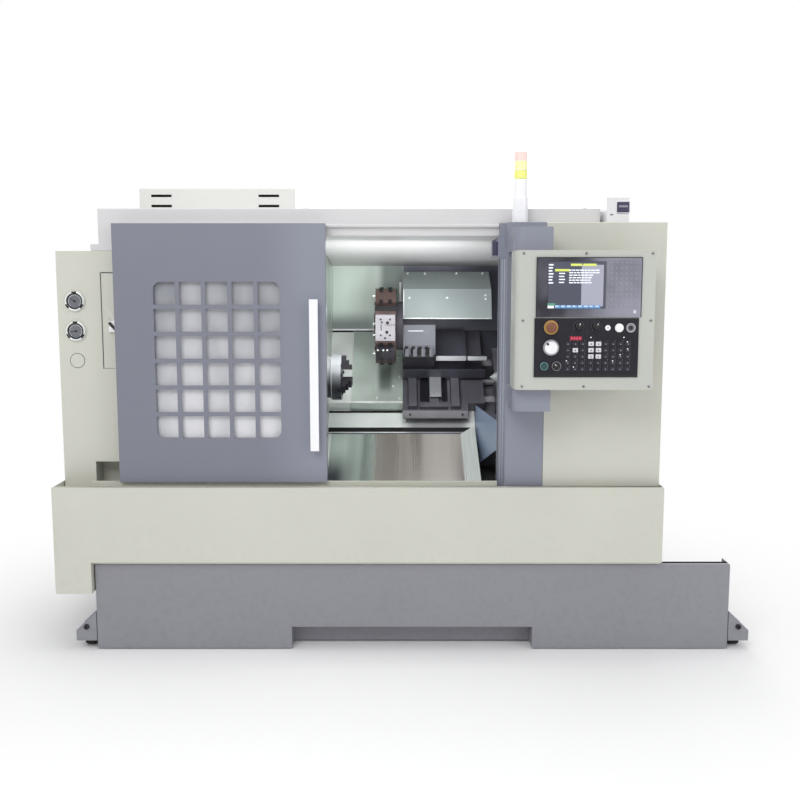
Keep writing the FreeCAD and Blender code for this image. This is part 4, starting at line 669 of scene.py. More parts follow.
def screws(name, body, seats, radius, directions=FRONT, finish=zinc, socket=True):
    """Screws of the given head radius: a turned head, and a sunk dark six-sided socket if they have one."""
    turned(name, finish, body, seats, HEAD_PROFILE, directions, scale=radius, columns=16)
    if socket:
        turned(name + "_sockets", hollow, body, seats, SOCKET_PROFILE, directions, scale=radius, columns=6)


# ------------------------------------------------------------------ operator panel
panel_low, panel_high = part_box("operator_panel")
display_low, display_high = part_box("display_unit")
board_low, board_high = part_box("machine_board")
PIVOT_PIN = 0.022
KNOB_GAP = 0.0003
SCREEN_CELL = 0.0215
panel_face = display_high.y
panel_z = (panel_low.z + PIVOT_PIN, panel_high.z - PIVOT_PIN)
display_face = board_face = display_low.y


def panel_screws():
    """Eight screws round the panel's edge."""
    from_left, from_right, from_low, from_high = 0.028, 0.014, 0.013, 0.012
    x = (panel_low.x + from_left, (panel_low.x + panel_high.x) / 2, panel_high.x - from_right)
    z = (panel_z[0] + from_low, (panel_z[0] + panel_z[1]) / 2, panel_z[1] - from_high)
    seats = [(x[i], panel_face, z[j]) for j in range(3) for i in range(3) if (i, j) != (1, 1)]
    screws("panel_screws", "panel", seats, radius=0.0052)


def screen_marks(left, low, high, depth):
    """Rows and bars of generic marks, each as its middle, its width and its height.

    A word's length steps through four values, and a row holds the whole words that it has room for.
    """
    line, word_line, word_left, word_gap = 0.0112, 0.0093, 0.079, 0.0022

    def mark(x0, x1, z, tall):
        """Middle, width and height of a bar from x0 to x1."""
        return ((x0 + x1) / 2, depth, z, x1 - x0, tall)

    bars = [mark(left + x0, left + x1, high - drop, 0.0085)
            for x0, x1, drop in ((0.085, 0.127, 0.013), (0.131, 0.181, 0.013), (0.026, 0.081, 0.033))]
    rows = [mark(left + 0.002, left + 0.020 - 0.002 * (row % 3), high - 0.013 - row * line, 0.0055)
            for row in range(7)]
    rows += [mark(left + 0.041, left + 0.064 - 0.003 * (row % 2), high - 0.045 - row * line, 0.0045)
             for row in range(4)]
    for row in range(6):
        reach = 0.205 if row < 2 else 0.172
        words = np.cumsum([0.0] + [0.011 + 0.007 * ((3 * row + 5 * n) % 4) / 3 for n in range(12)])
        rows += [mark(left + word_left + start, left + word_left + end - word_gap,
                      high - 0.033 - row * word_line, 0.0048)
                 for start, end in zip(words[:-1], words[1:]) if word_left + end < reach]
    rows.append(mark(left, left + 0.024, low + 0.0065, 0.010))
    for cell in range(8):
        x = left + 0.036 + SCREEN_CELL * cell
        rows.append(mark(x - 0.0065, x + 0.0045 + 0.002 * (cell % 3), low + 0.0095, 0.0030))
    return rows, bars


def display():
    """Screen with rows of generic marks, and a block of flat keys beside it."""
    width, height = display_high.x - display_low.x, display_high.z - display_low.z
    left, right = display_low.x + 0.11 * width, display_low.x + 0.66 * width
    low, high = display_low.z + 0.14 * height, display_low.z + 0.93 * height
    floor, glow = display_face + 0.0015, display_face + 0.0009
    slabs("screen", screen_dark, "panel", [((left + right) / 2, floor, (low + high) / 2)],
          (right - left - 0.002, high - low - 0.002, 0.0005), edge=MARK_EDGE)
    pale_left = left + 0.124
    pale = [((pale_left + right) / 2 - 0.004, glow + 0.0003, (low + high) / 2 - 0.002)]
    slabs("screen_pale_side", screen_pale, "panel", pale,
          (right - pale_left - 0.012, high - low - 0.022, 0.0003), edge=MARK_EDGE)
    rows, bars = screen_marks(left, low, high, glow)
    for name, finish, marks in (("screen_rows", screen_white, rows), ("screen_bars", screen_yellow, bars)):
        data = np.array(marks)
        size = np.column_stack([data[:, 3:], np.full(len(data), 0.0005)])
        slabs(name, finish, "panel", data[:, :3], size, **PRINTED)
    slabs("screen_green_cell", screen_green, "panel", [(left + 0.013, glow, low + 0.0165)],
          (0.032, 0.008, 0.0004), edge=MARK_EDGE)
    cells = spots(left + 0.038 + SCREEN_CELL * np.arange(8), glow, low + 0.0075)
    slabs("screen_blue_cells", screen_blue, "panel", cells, (0.020, 0.012, 0.0004), edge=MARK_EDGE)
    x, _, z = middle_of(display_low, display_high)
    rim = 0.0028
    sides = [(display_low.x + rim / 2, display_face, z), (display_high.x - rim / 2, display_face, z)]
    slabs("display_edge", hollow, "panel", sides + [(x, display_face, display_high.z - rim / 2)],
          [(rim, height, 0.0004), (rim, height, 0.0004), (width - 2 * rim, rim, 0.0004)], **PRINTED)
    key_tall = 0.0014
    key_x = np.linspace(right + 0.020, display_high.x - 0.022, 6)
    key_z = np.linspace(low + 0.012, high - 0.006, 9)
    slabs("display_keys", bezel_grey, "panel", spots(key_x, display_face, key_z),
          (0.0145, 0.0135, key_tall), corner=0.0015, edge=0.0005)
    slabs("display_key_marks", key_grey, "panel",
          spots(key_x - 0.002, display_face - key_tall, key_z + 0.001), (0.0024, 0.0030, 0.0002), **PRINTED)
    slabs("display_pale_key", key_pale, "panel", [(display_high.x - 0.025, display_face, low - 0.011)],
          (0.011, 0.012, 0.0015), corner=0.002)
    soft_x = np.linspace(left + 0.012, right - 0.012, 10)
    slabs("display_soft_keys", bezel_grey, "panel", spots(soft_x, display_face, low - 0.013),
          (0.015, 0.009, 0.0012), corner=0.0015, edge=0.0004)


def on_board(*places):
    """Seats on the board's face at (x, z) distances from its lower left corner."""
    return [(board_low.x + x, board_face, board_low.z + z) for x, z in places]


def board_keys():
    """Membrane keys with small marks, the pale keys among them, and their signal lamps."""
    key_step, row_step, key_tall = 0.028, 0.0239, 0.0016
    column_x = np.concatenate([board_low.x + 0.128 + key_step * np.arange(3),
                               board_low.x + 0.2155 + key_step * np.arange(6)])
    row_z = board_low.z + 0.127 - row_step * np.arange(5)
    columns, rows = np.meshgrid(np.arange(9), np.arange(5), indexing="ij")
    pale = ((columns == 1) & (rows == 1)) | ((columns >= 3) & (columns <= 4) & (rows <= 2))
    for name, finish, chosen, mark, size in (("board_keys", key_dark, ~pale, legend, 0.0042),
                                             ("board_pale_keys", key_pale, pale, charcoal, 0.0046)):
        face = np.full(chosen.sum(), board_face)
        seats = np.column_stack([column_x[columns[chosen]], face, row_z[rows[chosen]]])
        slabs(name, finish, "panel", seats, (0.0205, 0.0165, key_tall), corner=0.0025, edge=0.0007)
        slabs(name + "_marks", mark, "panel", seats + (0.0, -key_tall, -0.001), (size, size, 0.0002),
              corner=size * 0.3, edge=MARK_EDGE, columns=8)
    lamps = spots(column_x + 0.0075, board_face, row_z + 0.0115)
    slabs("board_lamps", legend, "panel", lamps, (0.0022, 0.0022, 0.0006), corner=0.0011, edge=0.0002,
          columns=8)
    lit_lamps = on_board((0.214, 0.1515), (0.3386, 0.1515), (0.123, 0.0626), (0.150, 0.0393), (0.354, 0.108),
                         (0.3256, 0.086), (0.298, 0.0622), (0.352, 0.1345))
    slabs("board_lit_lamps", screen_white, "panel", lit_lamps, (0.0048, 0.0048, 0.0022), corner=0.0024,
          edge=0.0008, columns=12)
    slabs("board_dividers", key_dark, "panel", on_board((0.112, 0.115), (0.200, 0.115)),
          (0.0012, 0.200, 0.0004), **PRINTED)
    slabs("board_edge_strip", hollow, "panel",
          [((board_low.x + board_high.x) / 2, board_face, board_low.z + 0.006)],
          (board_high.x - board_low.x - 0.002, 0.011, 0.0012), edge=0.0003, columns=4)


def digit_window():
    """Red window with four plain digits, each of seven bars."""
    centre = np.array([board_low.x + 0.157, board_face, board_low.z + 0.148])
    window_tall, pitch = 0.0012, 0.0104
    slabs("digit_window", red_window, "panel", [centre], (0.047, 0.0165, window_tall), corner=0.002)
    tall, wide, bar = 0.0044, 0.0048, 0.0012
    level = [(0, tall), (0, 0), (0, -tall)]
    upright = [(-wide / 2, tall / 2), (wide / 2, tall / 2), (-wide / 2, -tall / 2), (wide / 2, -tall / 2)]
    for name, places, size in (("digit_bars", level, (wide - bar, bar, 0.0004)),
                               ("digit_uprights", upright, (bar, tall - bar, 0.0004))):
        seats = [centre + (dx + pitch * (n - 1.5), -window_tall, dz) for n in range(4) for dx, dz in places]
        slabs(name, red_digits, "panel", seats, size, **PRINTED)


def knob(node, body, pointer_angle):
    """Fluted skirt, raised grip and pale pointer on one of the board's knobs."""
    low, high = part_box(node)
    x, _, z = middle_of(low, high)
    radius = (high.x - low.x) / 2
    foot = board_face - KNOB_GAP
    tall = foot - low.y
    profile = boss(0.0008, radius, (radius * 0.94, tall * 0.42), (radius * 0.72, tall * 0.58))
    skirt = turned(node + "_skirt", black, body, [(x, foot, z)], profile, columns=96, flutes=24,
                   flute_depth=0.05)
    turn = turned_seat(FRONT, -pointer_angle)
    grip = slabs(node + "_grip", black, body, [(x, foot - tall * 0.56, z)],
                 (radius * 0.5, radius * 1.7, tall * 0.40), turn, corner=radius * 0.22, edge=0.001)
    reach = turn[1] * radius * 0.55
    tip = (x + reach[0], low.y + tall * 0.04, z + reach[2])
    pointer = slabs(node + "_pointer", ivory, body, [tip], (0.0022, radius * 0.5, tall * 0.035), turn,
                    edge=MARK_EDGE)
    for piece in (skirt, grip, pointer):
        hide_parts(node)
    return x, z, radius


def dial_marks(x, y, z, radius, angles):
    """Seats and directions of marks round a dial, at the sine and cosine of each angle from the top."""
    depth = np.full(len(angles), y)
    seats = np.stack([x + radius * np.sin(angles), depth, z + radius * np.cos(angles)], axis=-1)
    return seats, np.stack([turned_seat(FRONT, -a) for a in angles])


def knob_scale(name, x, z, radius, marks):
    """Pale ticks on the board over three quarters of a turn about a knob."""
    seats, turns = dial_marks(x, board_face, z, radius, np.linspace(*DIAL_SPAN, marks))
    slabs(name, legend, "panel", seats, (0.0008, 0.0030, 0.0003), turns, **PRINTED)


def bezel(name, finish, body, seat, inner, outer, height, columns=48):
    """Turned ring: a rectangle of the ring's width and height, its corners rounded, round the axis."""
    section = eased([(inner, 0.0), (inner, height), (outer, height), (outer, 0.0)], height * 0.35)
    return turned(name, finish, body, [seat], np.concatenate([section, section[:1]]), columns=columns)


def hand_wheel():
    """Pulse wheel: fluted rim, pale dial with ticks and a spinner."""
    low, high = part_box("hand_wheel")
    x, _, z = middle_of(low, high)
    radius = (high.x - low.x) / 2
    seat = np.array([x, board_face - KNOB_GAP, z])
    rim_tall, dial_seat, tick_depth = 0.0136, 0.0120, 0.0131
    rim = turned("hand_wheel_rim", zinc, "hand_wheel", [seat],
                 boss(0.0012, radius, (radius, 0.010), (radius * 0.86, rim_tall), (radius * 0.78, 0.0122)),
                 columns=180, flutes=60, flute_depth=0.022)
    dial = turned("hand_wheel_dial", ivory, "hand_wheel", [seat + (0.0, -dial_seat, 0.0)],
                  boss(0.0004, radius * 0.77, (radius * 0.77, 0.0012), (radius * 0.5, 0.0018), crown=0.0001),
                  columns=64)
    ticks, turns = dial_marks(x, seat[1] - tick_depth, z, radius * 0.70, np.arange(40) * FULL_TURN / 40)
    marks = slabs("hand_wheel_ticks", dark_steel, "hand_wheel", ticks, (0.0005, 0.0022, 0.0003), turns,
                  **PRINTED)
    offset = radius * 0.45
    spinner = turned("hand_wheel_spinner", dark_steel, "hand_wheel", [seat + (-offset, -rim_tall, offset)],
                     boss(0.0007, 0.0028, (0.0028, 0.0015), (0.0049, 0.0035), (0.0045, 0.0058), crown=0.0006),
                     columns=24)
    for piece in (rim, dial, marks, spinner):
        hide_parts("hand_wheel")
    bezel("hand_wheel_seat", dark_steel, "panel", (x, board_face, z), radius * 0.6, radius * 0.9, 0.00025)


def push_buttons():
    """Stop and start buttons with their rings, and the fixed buttons of the board's right."""
    low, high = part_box("stop_button")
    x, _, z = middle_of(low, high)
    radius = (high.x - low.x) / 2
    head, stem = 0.0090, 0.0078
    stop = turned("stop_button_head", orange, "stop_button", [(x, low.y + head, z)],
                  eased([(0.0, -0.016), (stem, -0.016), (stem, 0.0), (radius * 0.93, 0.0), (radius, 0.0025),
                         (radius, 0.0058), (radius * 0.86, 0.0078), (radius * 0.55, 0.0087), (0.0, 0.0089)],
                        0.0012), columns=56)
    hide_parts("stop_button")
    bezel("stop_ring", amber, "panel", (x, board_low.y, z), radius * 0.5, 0.0268, 0.0016)
    low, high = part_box("start_button")
    x, _, z = middle_of(low, high)
    radius = (high.x - low.x) / 2
    tall = board_face - 0.0033 - low.y
    stem, stem_foot = 0.0058, -0.0022
    start = turned("start_button_cap", teal, "start_button", [(x, low.y + tall, z)],
                   eased([(0.0, stem_foot), (stem, stem_foot), (stem, 0.0), (radius, 0.0),
                          (radius, tall * 0.75), (radius * 0.9, tall), (0.0, tall * 0.94)], 0.0008),
                   columns=40)
    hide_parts("start_button")
    bezel("start_ring", ring_teal, "panel", (x, board_face, z), radius + 0.0008, 0.0158, 0.0045)
    x, _, z = middle_of(*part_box("mode_knob"))
    bezel("mode_ring", zinc, "panel", (x, board_face, z), 0.0153, 0.0176, 0.003)
    row = 0.1875
    small, large = on_board((0.2765, row), (0.3194, row))
    turned("round_buttons", ivory, "panel", [small, large],
           eased([(0.0, 0.0), (1.0, 0.0), (1.0, 0.45), (0.8, 0.6), (0.0, 0.62)], 0.12),
           scale=np.array([0.0105, 0.0165]), columns=40)
    slabs("round_button_mark", zinc, "panel", [(small[0], board_face - 0.0065, small[2])],
          (0.006, 0.006, 0.0003), corner=0.003, edge=MARK_EDGE)
    lock, = on_board((0.3637, row))
    core_tall = 0.0026
    bezel("key_lock_ring", zinc, "panel", lock, 0.0128, 0.0180, 0.0042)
    bezel("key_lock_inner_ring", legend, "panel", lock, 0.0090, 0.0118, 0.0030)
    turned("key_lock_core", dark_steel, "panel", [lock], boss(0.0006, 0.0088, (0.0088, core_tall)))
    slabs("key_lock_slot", hollow, "panel", [(lock[0], board_face - core_tall, lock[2])],
          (0.0022, 0.010, 0.0003), edge=MARK_EDGE)


def panel_back():
    """Service cover and its screws on the back of the panel."""
    cover = ((panel_low.x + panel_high.x) / 2 + 0.03, panel_high.y, (panel_z[0] + panel_z[1]) / 2)
    thick, screw_x, screw_z = 0.0025, 0.175, 0.185
    slabs("panel_service_cover", cream, "panel", [cover], (0.38, 0.40, thick), BACK, corner=0.012, edge=0.001)
    seats = spots((cover[0] - screw_x, cover[0] + screw_x), cover[1] + thick,
                  (cover[2] - screw_z, cover[2], cover[2] + screw_z))
    screws("panel_cover_screws", "panel", seats, 0.005, BACK)


panel_screws()
display()
board_keys()
digit_window()
feed_x, feed_z, knob_radius = knob("feed_knob", "feed_knob", math.radians(18.0))
speed_x, speed_z, _ = knob("speed_knob", "speed_knob", math.radians(26.0))
knob("mode_knob", "mode_knob", math.radians(-45.0))
scale_radius = knob_radius + 0.0045
knob_scale("feed_scale", feed_x, feed_z, scale_radius, 16)
knob_scale("speed_scale", speed_x, speed_z, scale_radius, 12)
hand_wheel()
push_buttons()
panel_back()


# ------------------------------------------------------------------ gauges, signal tower, roof unit
def gauges():
    """Two pressure gauges: turned case and rim, dial, ticks, needle; and a flush blank under them."""
    low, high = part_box("pressure_gauges")
    x, face = (low.x + high.x) / 2, high.y
    radius = (high.x - low.x) / 2
    blank_radius = 0.031
    z_top, z_blank = high.z - radius, low.z + blank_radius
    seats = [(x, face, z_top), (x, face, (z_top + z_blank) / 2)]
    deep = face - low.y

    def at_depth(y):
        """The two gauges' middles, brought to a depth."""
        return [(x, y, seat[2]) for seat in seats]

    cases = turned("gauge_cases", bright, "frame", seats,
                   boss(0.0015, radius, (radius, 0.004), (radius * 0.95, deep * 0.8), (radius * 0.90, deep),
                        (radius * 0.80, deep), (radius * 0.76, deep * 0.5)), columns=64)
    inner = radius * 0.75
    dial_y = face - deep * 0.5
    dials = turned("gauge_dials", dial_grey, "frame", at_depth(dial_y),
                   boss(0.0003, inner, (inner, 0.0012), (inner * 0.62, 0.0016)))
    angles = np.linspace(*DIAL_SPAN, 21)
    scales = [dial_marks(x, dial_y - 0.0012, seat[2], inner * 0.80, angles) for seat in seats]
    ticks, turns = (np.concatenate(arrays) for arrays in zip(*scales))
    marks = slabs("gauge_ticks", ivory, "frame", ticks, (0.0012, 0.0052, 0.0003), turns, **PRINTED)
    needle_turn = np.stack([turned_seat(FRONT, -math.radians(a)) for a in (-60.0, -95.0)])
    needles = slabs("gauge_needles", hollow, "frame",
                    [np.array(seat) + turn[1] * inner * 0.25
                     for seat, turn in zip(at_depth(dial_y - 0.0018), needle_turn)],
                    (0.0022, inner, 0.0008), needle_turn, edge=0.0002)
    hubs = turned("gauge_hubs", hollow, "frame", at_depth(dial_y - 0.0016),
                  boss(0.0005, 0.0042, (0.0042, 0.002), crown=0.0004), columns=20)
    cap = blank_radius - 0.0022
    blank = turned("gauge_blank", cream, "frame", [(x, face, z_blank)], boss(0.0008, cap, (cap, 0.0018)),
                   columns=56)
    seam_ring = bezel("gauge_blank_seam", seam, "frame", (x, face, z_blank), blank_radius - 0.0018,
                      blank_radius, 0.0008, columns=56)
    groove = [bezel("gauge_groove_%d" % n, hollow, "frame", seat, radius * 0.66, radius * 0.765, 0.0032,
                    columns=56) for n, seat in enumerate(at_depth(dial_y))]
    lugs = np.stack([turned_seat(FRONT, -math.radians(a)) for a in (0.0, 125.0, -125.0)])
    lug_seats = [np.array(seat) + turn[1] * radius * 0.86
                 for seat in at_depth(low.y + 0.003) for turn in lugs]
    clamps = slabs("gauge_lugs", hollow, "frame", lug_seats, (0.020, 0.0065, 0.0034),
                   np.tile(lugs, (2, 1, 1)), corner=0.002)
    for piece in [cases, dials, marks, needles, hubs, blank, seam_ring, clamps] + groove:
        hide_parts("pressure_gauges")


def signal_tower():
    """Foot, pole body and three ribbed lenses between thin rings, all turned about one axis."""
    low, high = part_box("signal_tower")
    x, y, _ = middle_of(low, high)
    foot = (high.x - low.x) / 2 - 0.002
    lens_stack, pole, foot_tall = 0.108, 0.028, 0.100
    lens_tall = lens_stack / 3
    base = high.z - lens_stack
    body = turned("tower_body", white_gloss, "frame", [(x, y, low.z)],
                  boss(0.003, foot, (foot, foot_tall), (pole, foot_tall + 0.008), (pole, base - low.z)), UP,
                  columns=56)
    ridge = boss(0.002, pole * 0.97, (pole * 0.99, lens_tall * 0.5), (pole * 0.97, lens_tall - 0.003))
    pieces = [body]
    for row, (name, finish) in enumerate((("green", lens_green), ("yellow", lens_yellow), ("red", lens_red))):
        z = base + row * lens_tall + 0.0015
        pieces.append(turned("tower_lens_" + name, finish, "frame", [(x, y, z)], ridge, UP, columns=56))
    rings = [(x, y, z) for z in (base + lens_tall - 0.0015, base + 2 * lens_tall - 0.0015, high.z - 0.004)]
    pieces.append(turned("tower_rings", white_gloss, "frame", rings,
                         boss(0.001, pole, (pole, 0.003), crown=0.0008), UP, columns=56))
    for piece in pieces:
        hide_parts("signal_tower")


def roof_unit():
    """Mist unit on the roof: smoked window in front, dark side panel with a pale curved grip.

    The grip's depth is a parabola over its height, and the crest's height a squared sine over its depth.
    """
    low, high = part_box("roof_unit")
    x, z = high.x - 0.026, low.z + 0.062
    frame_thick, pane_thick = 0.003, 0.0015
    slabs("roof_unit_window_frame", unit_white, "frame", [(x, low.y, z)], (0.058, 0.050, frame_thick),
          corner=0.003, edge=0.001)
    slabs("roof_unit_window", smoke, "frame", [(x, low.y - frame_thick, z)], (0.050, 0.042, pane_thick),
          corner=0.002, edge=0.0006)
    slabs("roof_unit_window_bar", bezel_grey, "frame", [(x, low.y - frame_thick - pane_thick, z + 0.003)],
          (0.036, 0.008, 0.001), corner=0.002, edge=0.0004)
    slabs("roof_unit_slot", hollow, "frame", [(low.x + 0.020, low.y, low.z + 0.032)], (0.012, 0.004, 0.0008),
          corner=0.002, edge=0.0003)
    side_y = (high.y - 0.245, high.y - 0.006)
    slabs("roof_unit_side_panel", smoke, "frame", [(low.x, sum(side_y) / 2, (low.z + high.z) / 2)],
          (side_y[1] - side_y[0], 0.088, 0.0018), LEFT, corner=0.003)

    def on_side(name, y, z, radius):
        """Round bar along a line of Y and Z values, half sunk in the side panel."""
        path = np.stack([np.full(len(y), low.x - 0.0018), y, z], axis=-1)
        surface(name, unit_white, "frame", carried_grid(path, round_section(radius), (1.0, 0.0, 0.0)))

    t = np.linspace(0.0, 1.0, 21)
    on_side("roof_unit_side_grip", side_y[1] - 0.052 + 0.030 * (2 * t - 1) ** 2,
            low.z + 0.012 + 0.078 * t, 0.006)
    t = np.linspace(0.0, 1.0, 15)
    on_side("roof_unit_side_crest", side_y[0] + 0.030 + 0.15 * t,
            low.z + 0.014 + 0.012 * np.sin(np.pi * t) ** 2, 0.004)


gauges()
signal_tower()
roof_unit()


# ------------------------------------------------------------------ work area
wall_low, wall_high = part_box("back_wall")
guard_low, guard_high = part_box("turret_guard")
SLOPE = facing((1, 0, 0), (0, 1, 1))
COVER_FOOT = np.array([0.163, 0.948])
COVER_HEAD = np.array([0.496, 1.282])


def wall_details():
    """Folded lips, seams and screws of the stainless walls; the lip and seam strip are white as painted
    highlights.
    """
    y = wall_high.y - 0.002
    lip_left, lip_right = wall_low.x + 0.002, -0.143
    slabs("wall_lip_highlight", white_gloss, "frame", [((lip_left + lip_right) / 2, y, 1.288)],
          (lip_right - wall_low.x, 0.008, 0.003), edge=0.001)
    slabs("wall_seam_highlight", white_gloss, "frame", [(-0.016, y, 1.445)], (0.012, 0.17, 0.006), edge=0.001)
    left = spots(-0.152, y, (1.460, 1.314, 1.252, 1.154, 1.050, 0.960))
    screws("wall_screws", "frame", left, 0.0075, finish=bright, socket=False)
    right = spots((0.075, 0.60), y, (1.50, 1.34))
    screws("wall_screws_right", "frame", right, 0.0070, finish=bright, socket=False)


def guard_details():
    """Screws and the folded lower lip of the bent guard over the turret housing."""
    bends = np.array([(0.150, 1.355), (0.200, 1.497), (0.350, 1.582)])
    lower = facing((1, 0, 0), (0, *(bends[1] - bends[0])))
    upper = facing((1, 0, 0), (0, *(bends[2] - bends[1])))

    def on_slope(x, pair, share):
        """Point a share of the way from one bend up to the next."""
        y, z = bends[pair] + (bends[pair + 1] - bends[pair]) * share
        return (x, y, z)

    seats = [on_slope(x, 0, s) for x, s in ((0.027, 0.70), (0.208, 0.70), (0.392, 0.78), (0.392, 0.66))]
    screws("guard_screws", "cross_slide", seats, 0.0062, lower, finish=bright, socket=False)
    seats = [on_slope(x, 1, 0.88) for x in (0.020, 0.105, 0.26, 0.39)]
    screws("guard_top_screws", "cross_slide", seats, 0.0060, upper, finish=bright, socket=False)
    lip = bends[0] + (0.0, 0.003)
    slabs("guard_lip", bright, "cross_slide", [((guard_low.x + guard_high.x) / 2, *lip)],
          (guard_high.x - guard_low.x, 0.005, 0.003), lower, edge=0.001)
    side = (bends[0] + (0, 0.01) + bends[1]) / 2
    slabs("guard_side_lip", bright, "cross_slide", [(guard_low.x + 0.004, *side)], (0.006, 0.135, 0.003),
          lower, edge=0.001)


def turret_details():
    """Bolts on every station of the tool disc, the sockets of the boring holder and a square tool block."""
    low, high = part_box("turret_disc")
    holder_low, holder_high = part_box("boring_holder")
    disc_x = (low.x + holder_high.x + 0.003) / 2
    axis = np.array([(low.y + high.y) / 2, (low.z + high.z) / 2])
    flat = axis[0] - low.y
    stations, holder_station, block_station = 8, 4, 5
    bolt_x = (-0.021, 0.021)

    def station(number, along):
        """Point and directions on one flat of the disc; the boring holder's station faces the door."""
        turn = number * FULL_TURN / stations
        outward = np.array([math.cos(turn), math.sin(turn)])
        tangent = np.array([math.sin(turn), -math.cos(turn)])
        y, z = axis + outward * flat + tangent * along
        return (disc_x, y, z), facing((1, 0, 0), (0.0, *tangent))

    bolts = [((x + dx, y, z), turn)
             for number in range(stations) if number != holder_station
             for (x, y, z), turn in (station(number, along) for along in (-0.011, 0.062))
             for dx in bolt_x]
    seats, turns = zip(*bolts)
    screws("disc_bolts", "turret", seats, 0.0108, np.stack(turns), finish=black)
    seats, turns = zip(*(station(number, -0.0535) for number in (1, 2, 3, 7, 0)))
    slabs("disc_wear_plates", black, "turret", seats, (0.100, 0.032, 0.002), np.stack(turns), corner=0.002)
    point, turn = station(block_station, 0.012)
    block_thick = 0.026
    slabs("square_tool_block", dark_steel, "turret", [point], (0.086, 0.088, block_thick), turn, corner=0.003,
          edge=0.0015)

    def on_block(places):
        """Points on the block's face, at distances across and up from its middle."""
        return [point + turn[0] * dx + turn[1] * dz + turn[2] * block_thick for dx, dz in places]

    corners = on_block([(dx, dz) for dx in bolt_x for dz in (-0.034, 0.034)])
    screws("tool_block_bolts", "turret", corners, 0.0085, turn, finish=dark_steel)
    clamps = on_block([(dx, 0.040) for dx in (-0.036, -0.010, 0.008)])
    screws("tool_block_clamps", "turret", clamps, 0.0045, turn, finish=bright, socket=False)
    face = holder_low.y
    small = [(-0.106, 1.360), (-0.064, 1.360), (-0.101, 1.347), (-0.106, 1.288), (-0.064, 1.288),
             (-0.086, 1.275)]
    large = [(-0.075, 1.345), (-0.078, 1.302)]
    for name, places, radius in (("holder_sockets", small, 0.0048), ("holder_ports", large, 0.0075)):
        turned(name, hollow, "turret", [(x, face, z) for x, z in places],
               [(0.0, 0.0), (radius, 0.0), (radius * 0.95, 0.0006), (0.0, 0.0006)], columns=20)
    slabs("holder_groove", hollow, "turret", [(-0.104, face, 1.324), (-0.062, face, 1.3345)],
          [(0.0035, 0.028, 0.0005), (0.042, 0.0022, 0.0005)], **PRINTED)
    half = (holder_high.z - holder_low.z) / 2
    plates = spots((holder_low.x + holder_high.x) / 2, face + 0.020,
                   (holder_low.z + half * 0.42, holder_low.z + half * 1.58))
    slabs("holder_plates", pale_steel, "turret", plates,
          (holder_high.x - holder_low.x + 0.001, half * 0.62, 0.0204), corner=0.002, edge=0.001)
    turned("disc_nozzles", bright, "turret", spots(low.x, low.y + 0.05, (1.466, 1.337, 1.284, 1.198)),
           boss(0.001, 0.0045, (0.0045, 0.009), (0.003, 0.012)), LEFT, columns=16)
    bolt_circle = 0.115
    seats = [(low.x, axis[0] + bolt_circle * math.cos(a), axis[1] + bolt_circle * math.sin(a))
             for a in (np.arange(stations) + 0.5) * FULL_TURN / stations]
    screws("disc_face_bolts", "turret", seats, 0.0085, LEFT, finish=dark_steel)
    turned("disc_hub_cover", dark_steel, "turret", [(low.x, *axis)],
           boss(0.002, 0.072, (0.072, 0.005), (0.060, 0.008)), LEFT, columns=64)


def chuck_details():
    """Bolts and rings on the chuck's face, and the stepped top jaws' clamping screws."""
    low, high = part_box("chuck_body")
    _, y, z = middle_of(low, high)
    jaw_angles = np.radians([90.0, 210.0, 330.0])
    bolt_circle, bolt_spread = 0.076, 0.32

    def on_chuck(x, radius, angle):
        """Point round the spindle's axis, at the cosine and sine of the angle."""
        return (x, y + radius * math.cos(angle), z + radius * math.sin(angle))

    between_jaws = jaw_angles + math.pi / 3
    bolts = [on_chuck(high.x, bolt_circle, a + s) for a in between_jaws for s in (-bolt_spread, bolt_spread)]
    screws("chuck_face_bolts", "spindle", bolts, 0.0085, RIGHT, finish=dark_steel)
    inner, outer, band = (high.z - low.z) / 2 - 0.006, (high.z - low.z) / 2 + 0.0001, 0.003
    section = eased([(inner, 0.0), (outer, 0.0), (outer, band), (inner, band)], 0.001)
    turned("chuck_band", bright, "spindle", [(low.x + 0.026, y, z)],
           np.concatenate([section, section[:1]]), RIGHT, columns=96)
    for number, angle in enumerate(jaw_angles, start=1):
        jaw_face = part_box("chuck_jaw_%d" % number)[1].x
        steps = ((0.028, 0.066), (0.0435, 0.088))
        seats = [on_chuck(jaw_face - back, radius, angle) for back, radius in steps]
        screws("jaw_%d_screws" % number, "jaw_%d" % number, seats, 0.0062, RIGHT, finish=dark_steel)


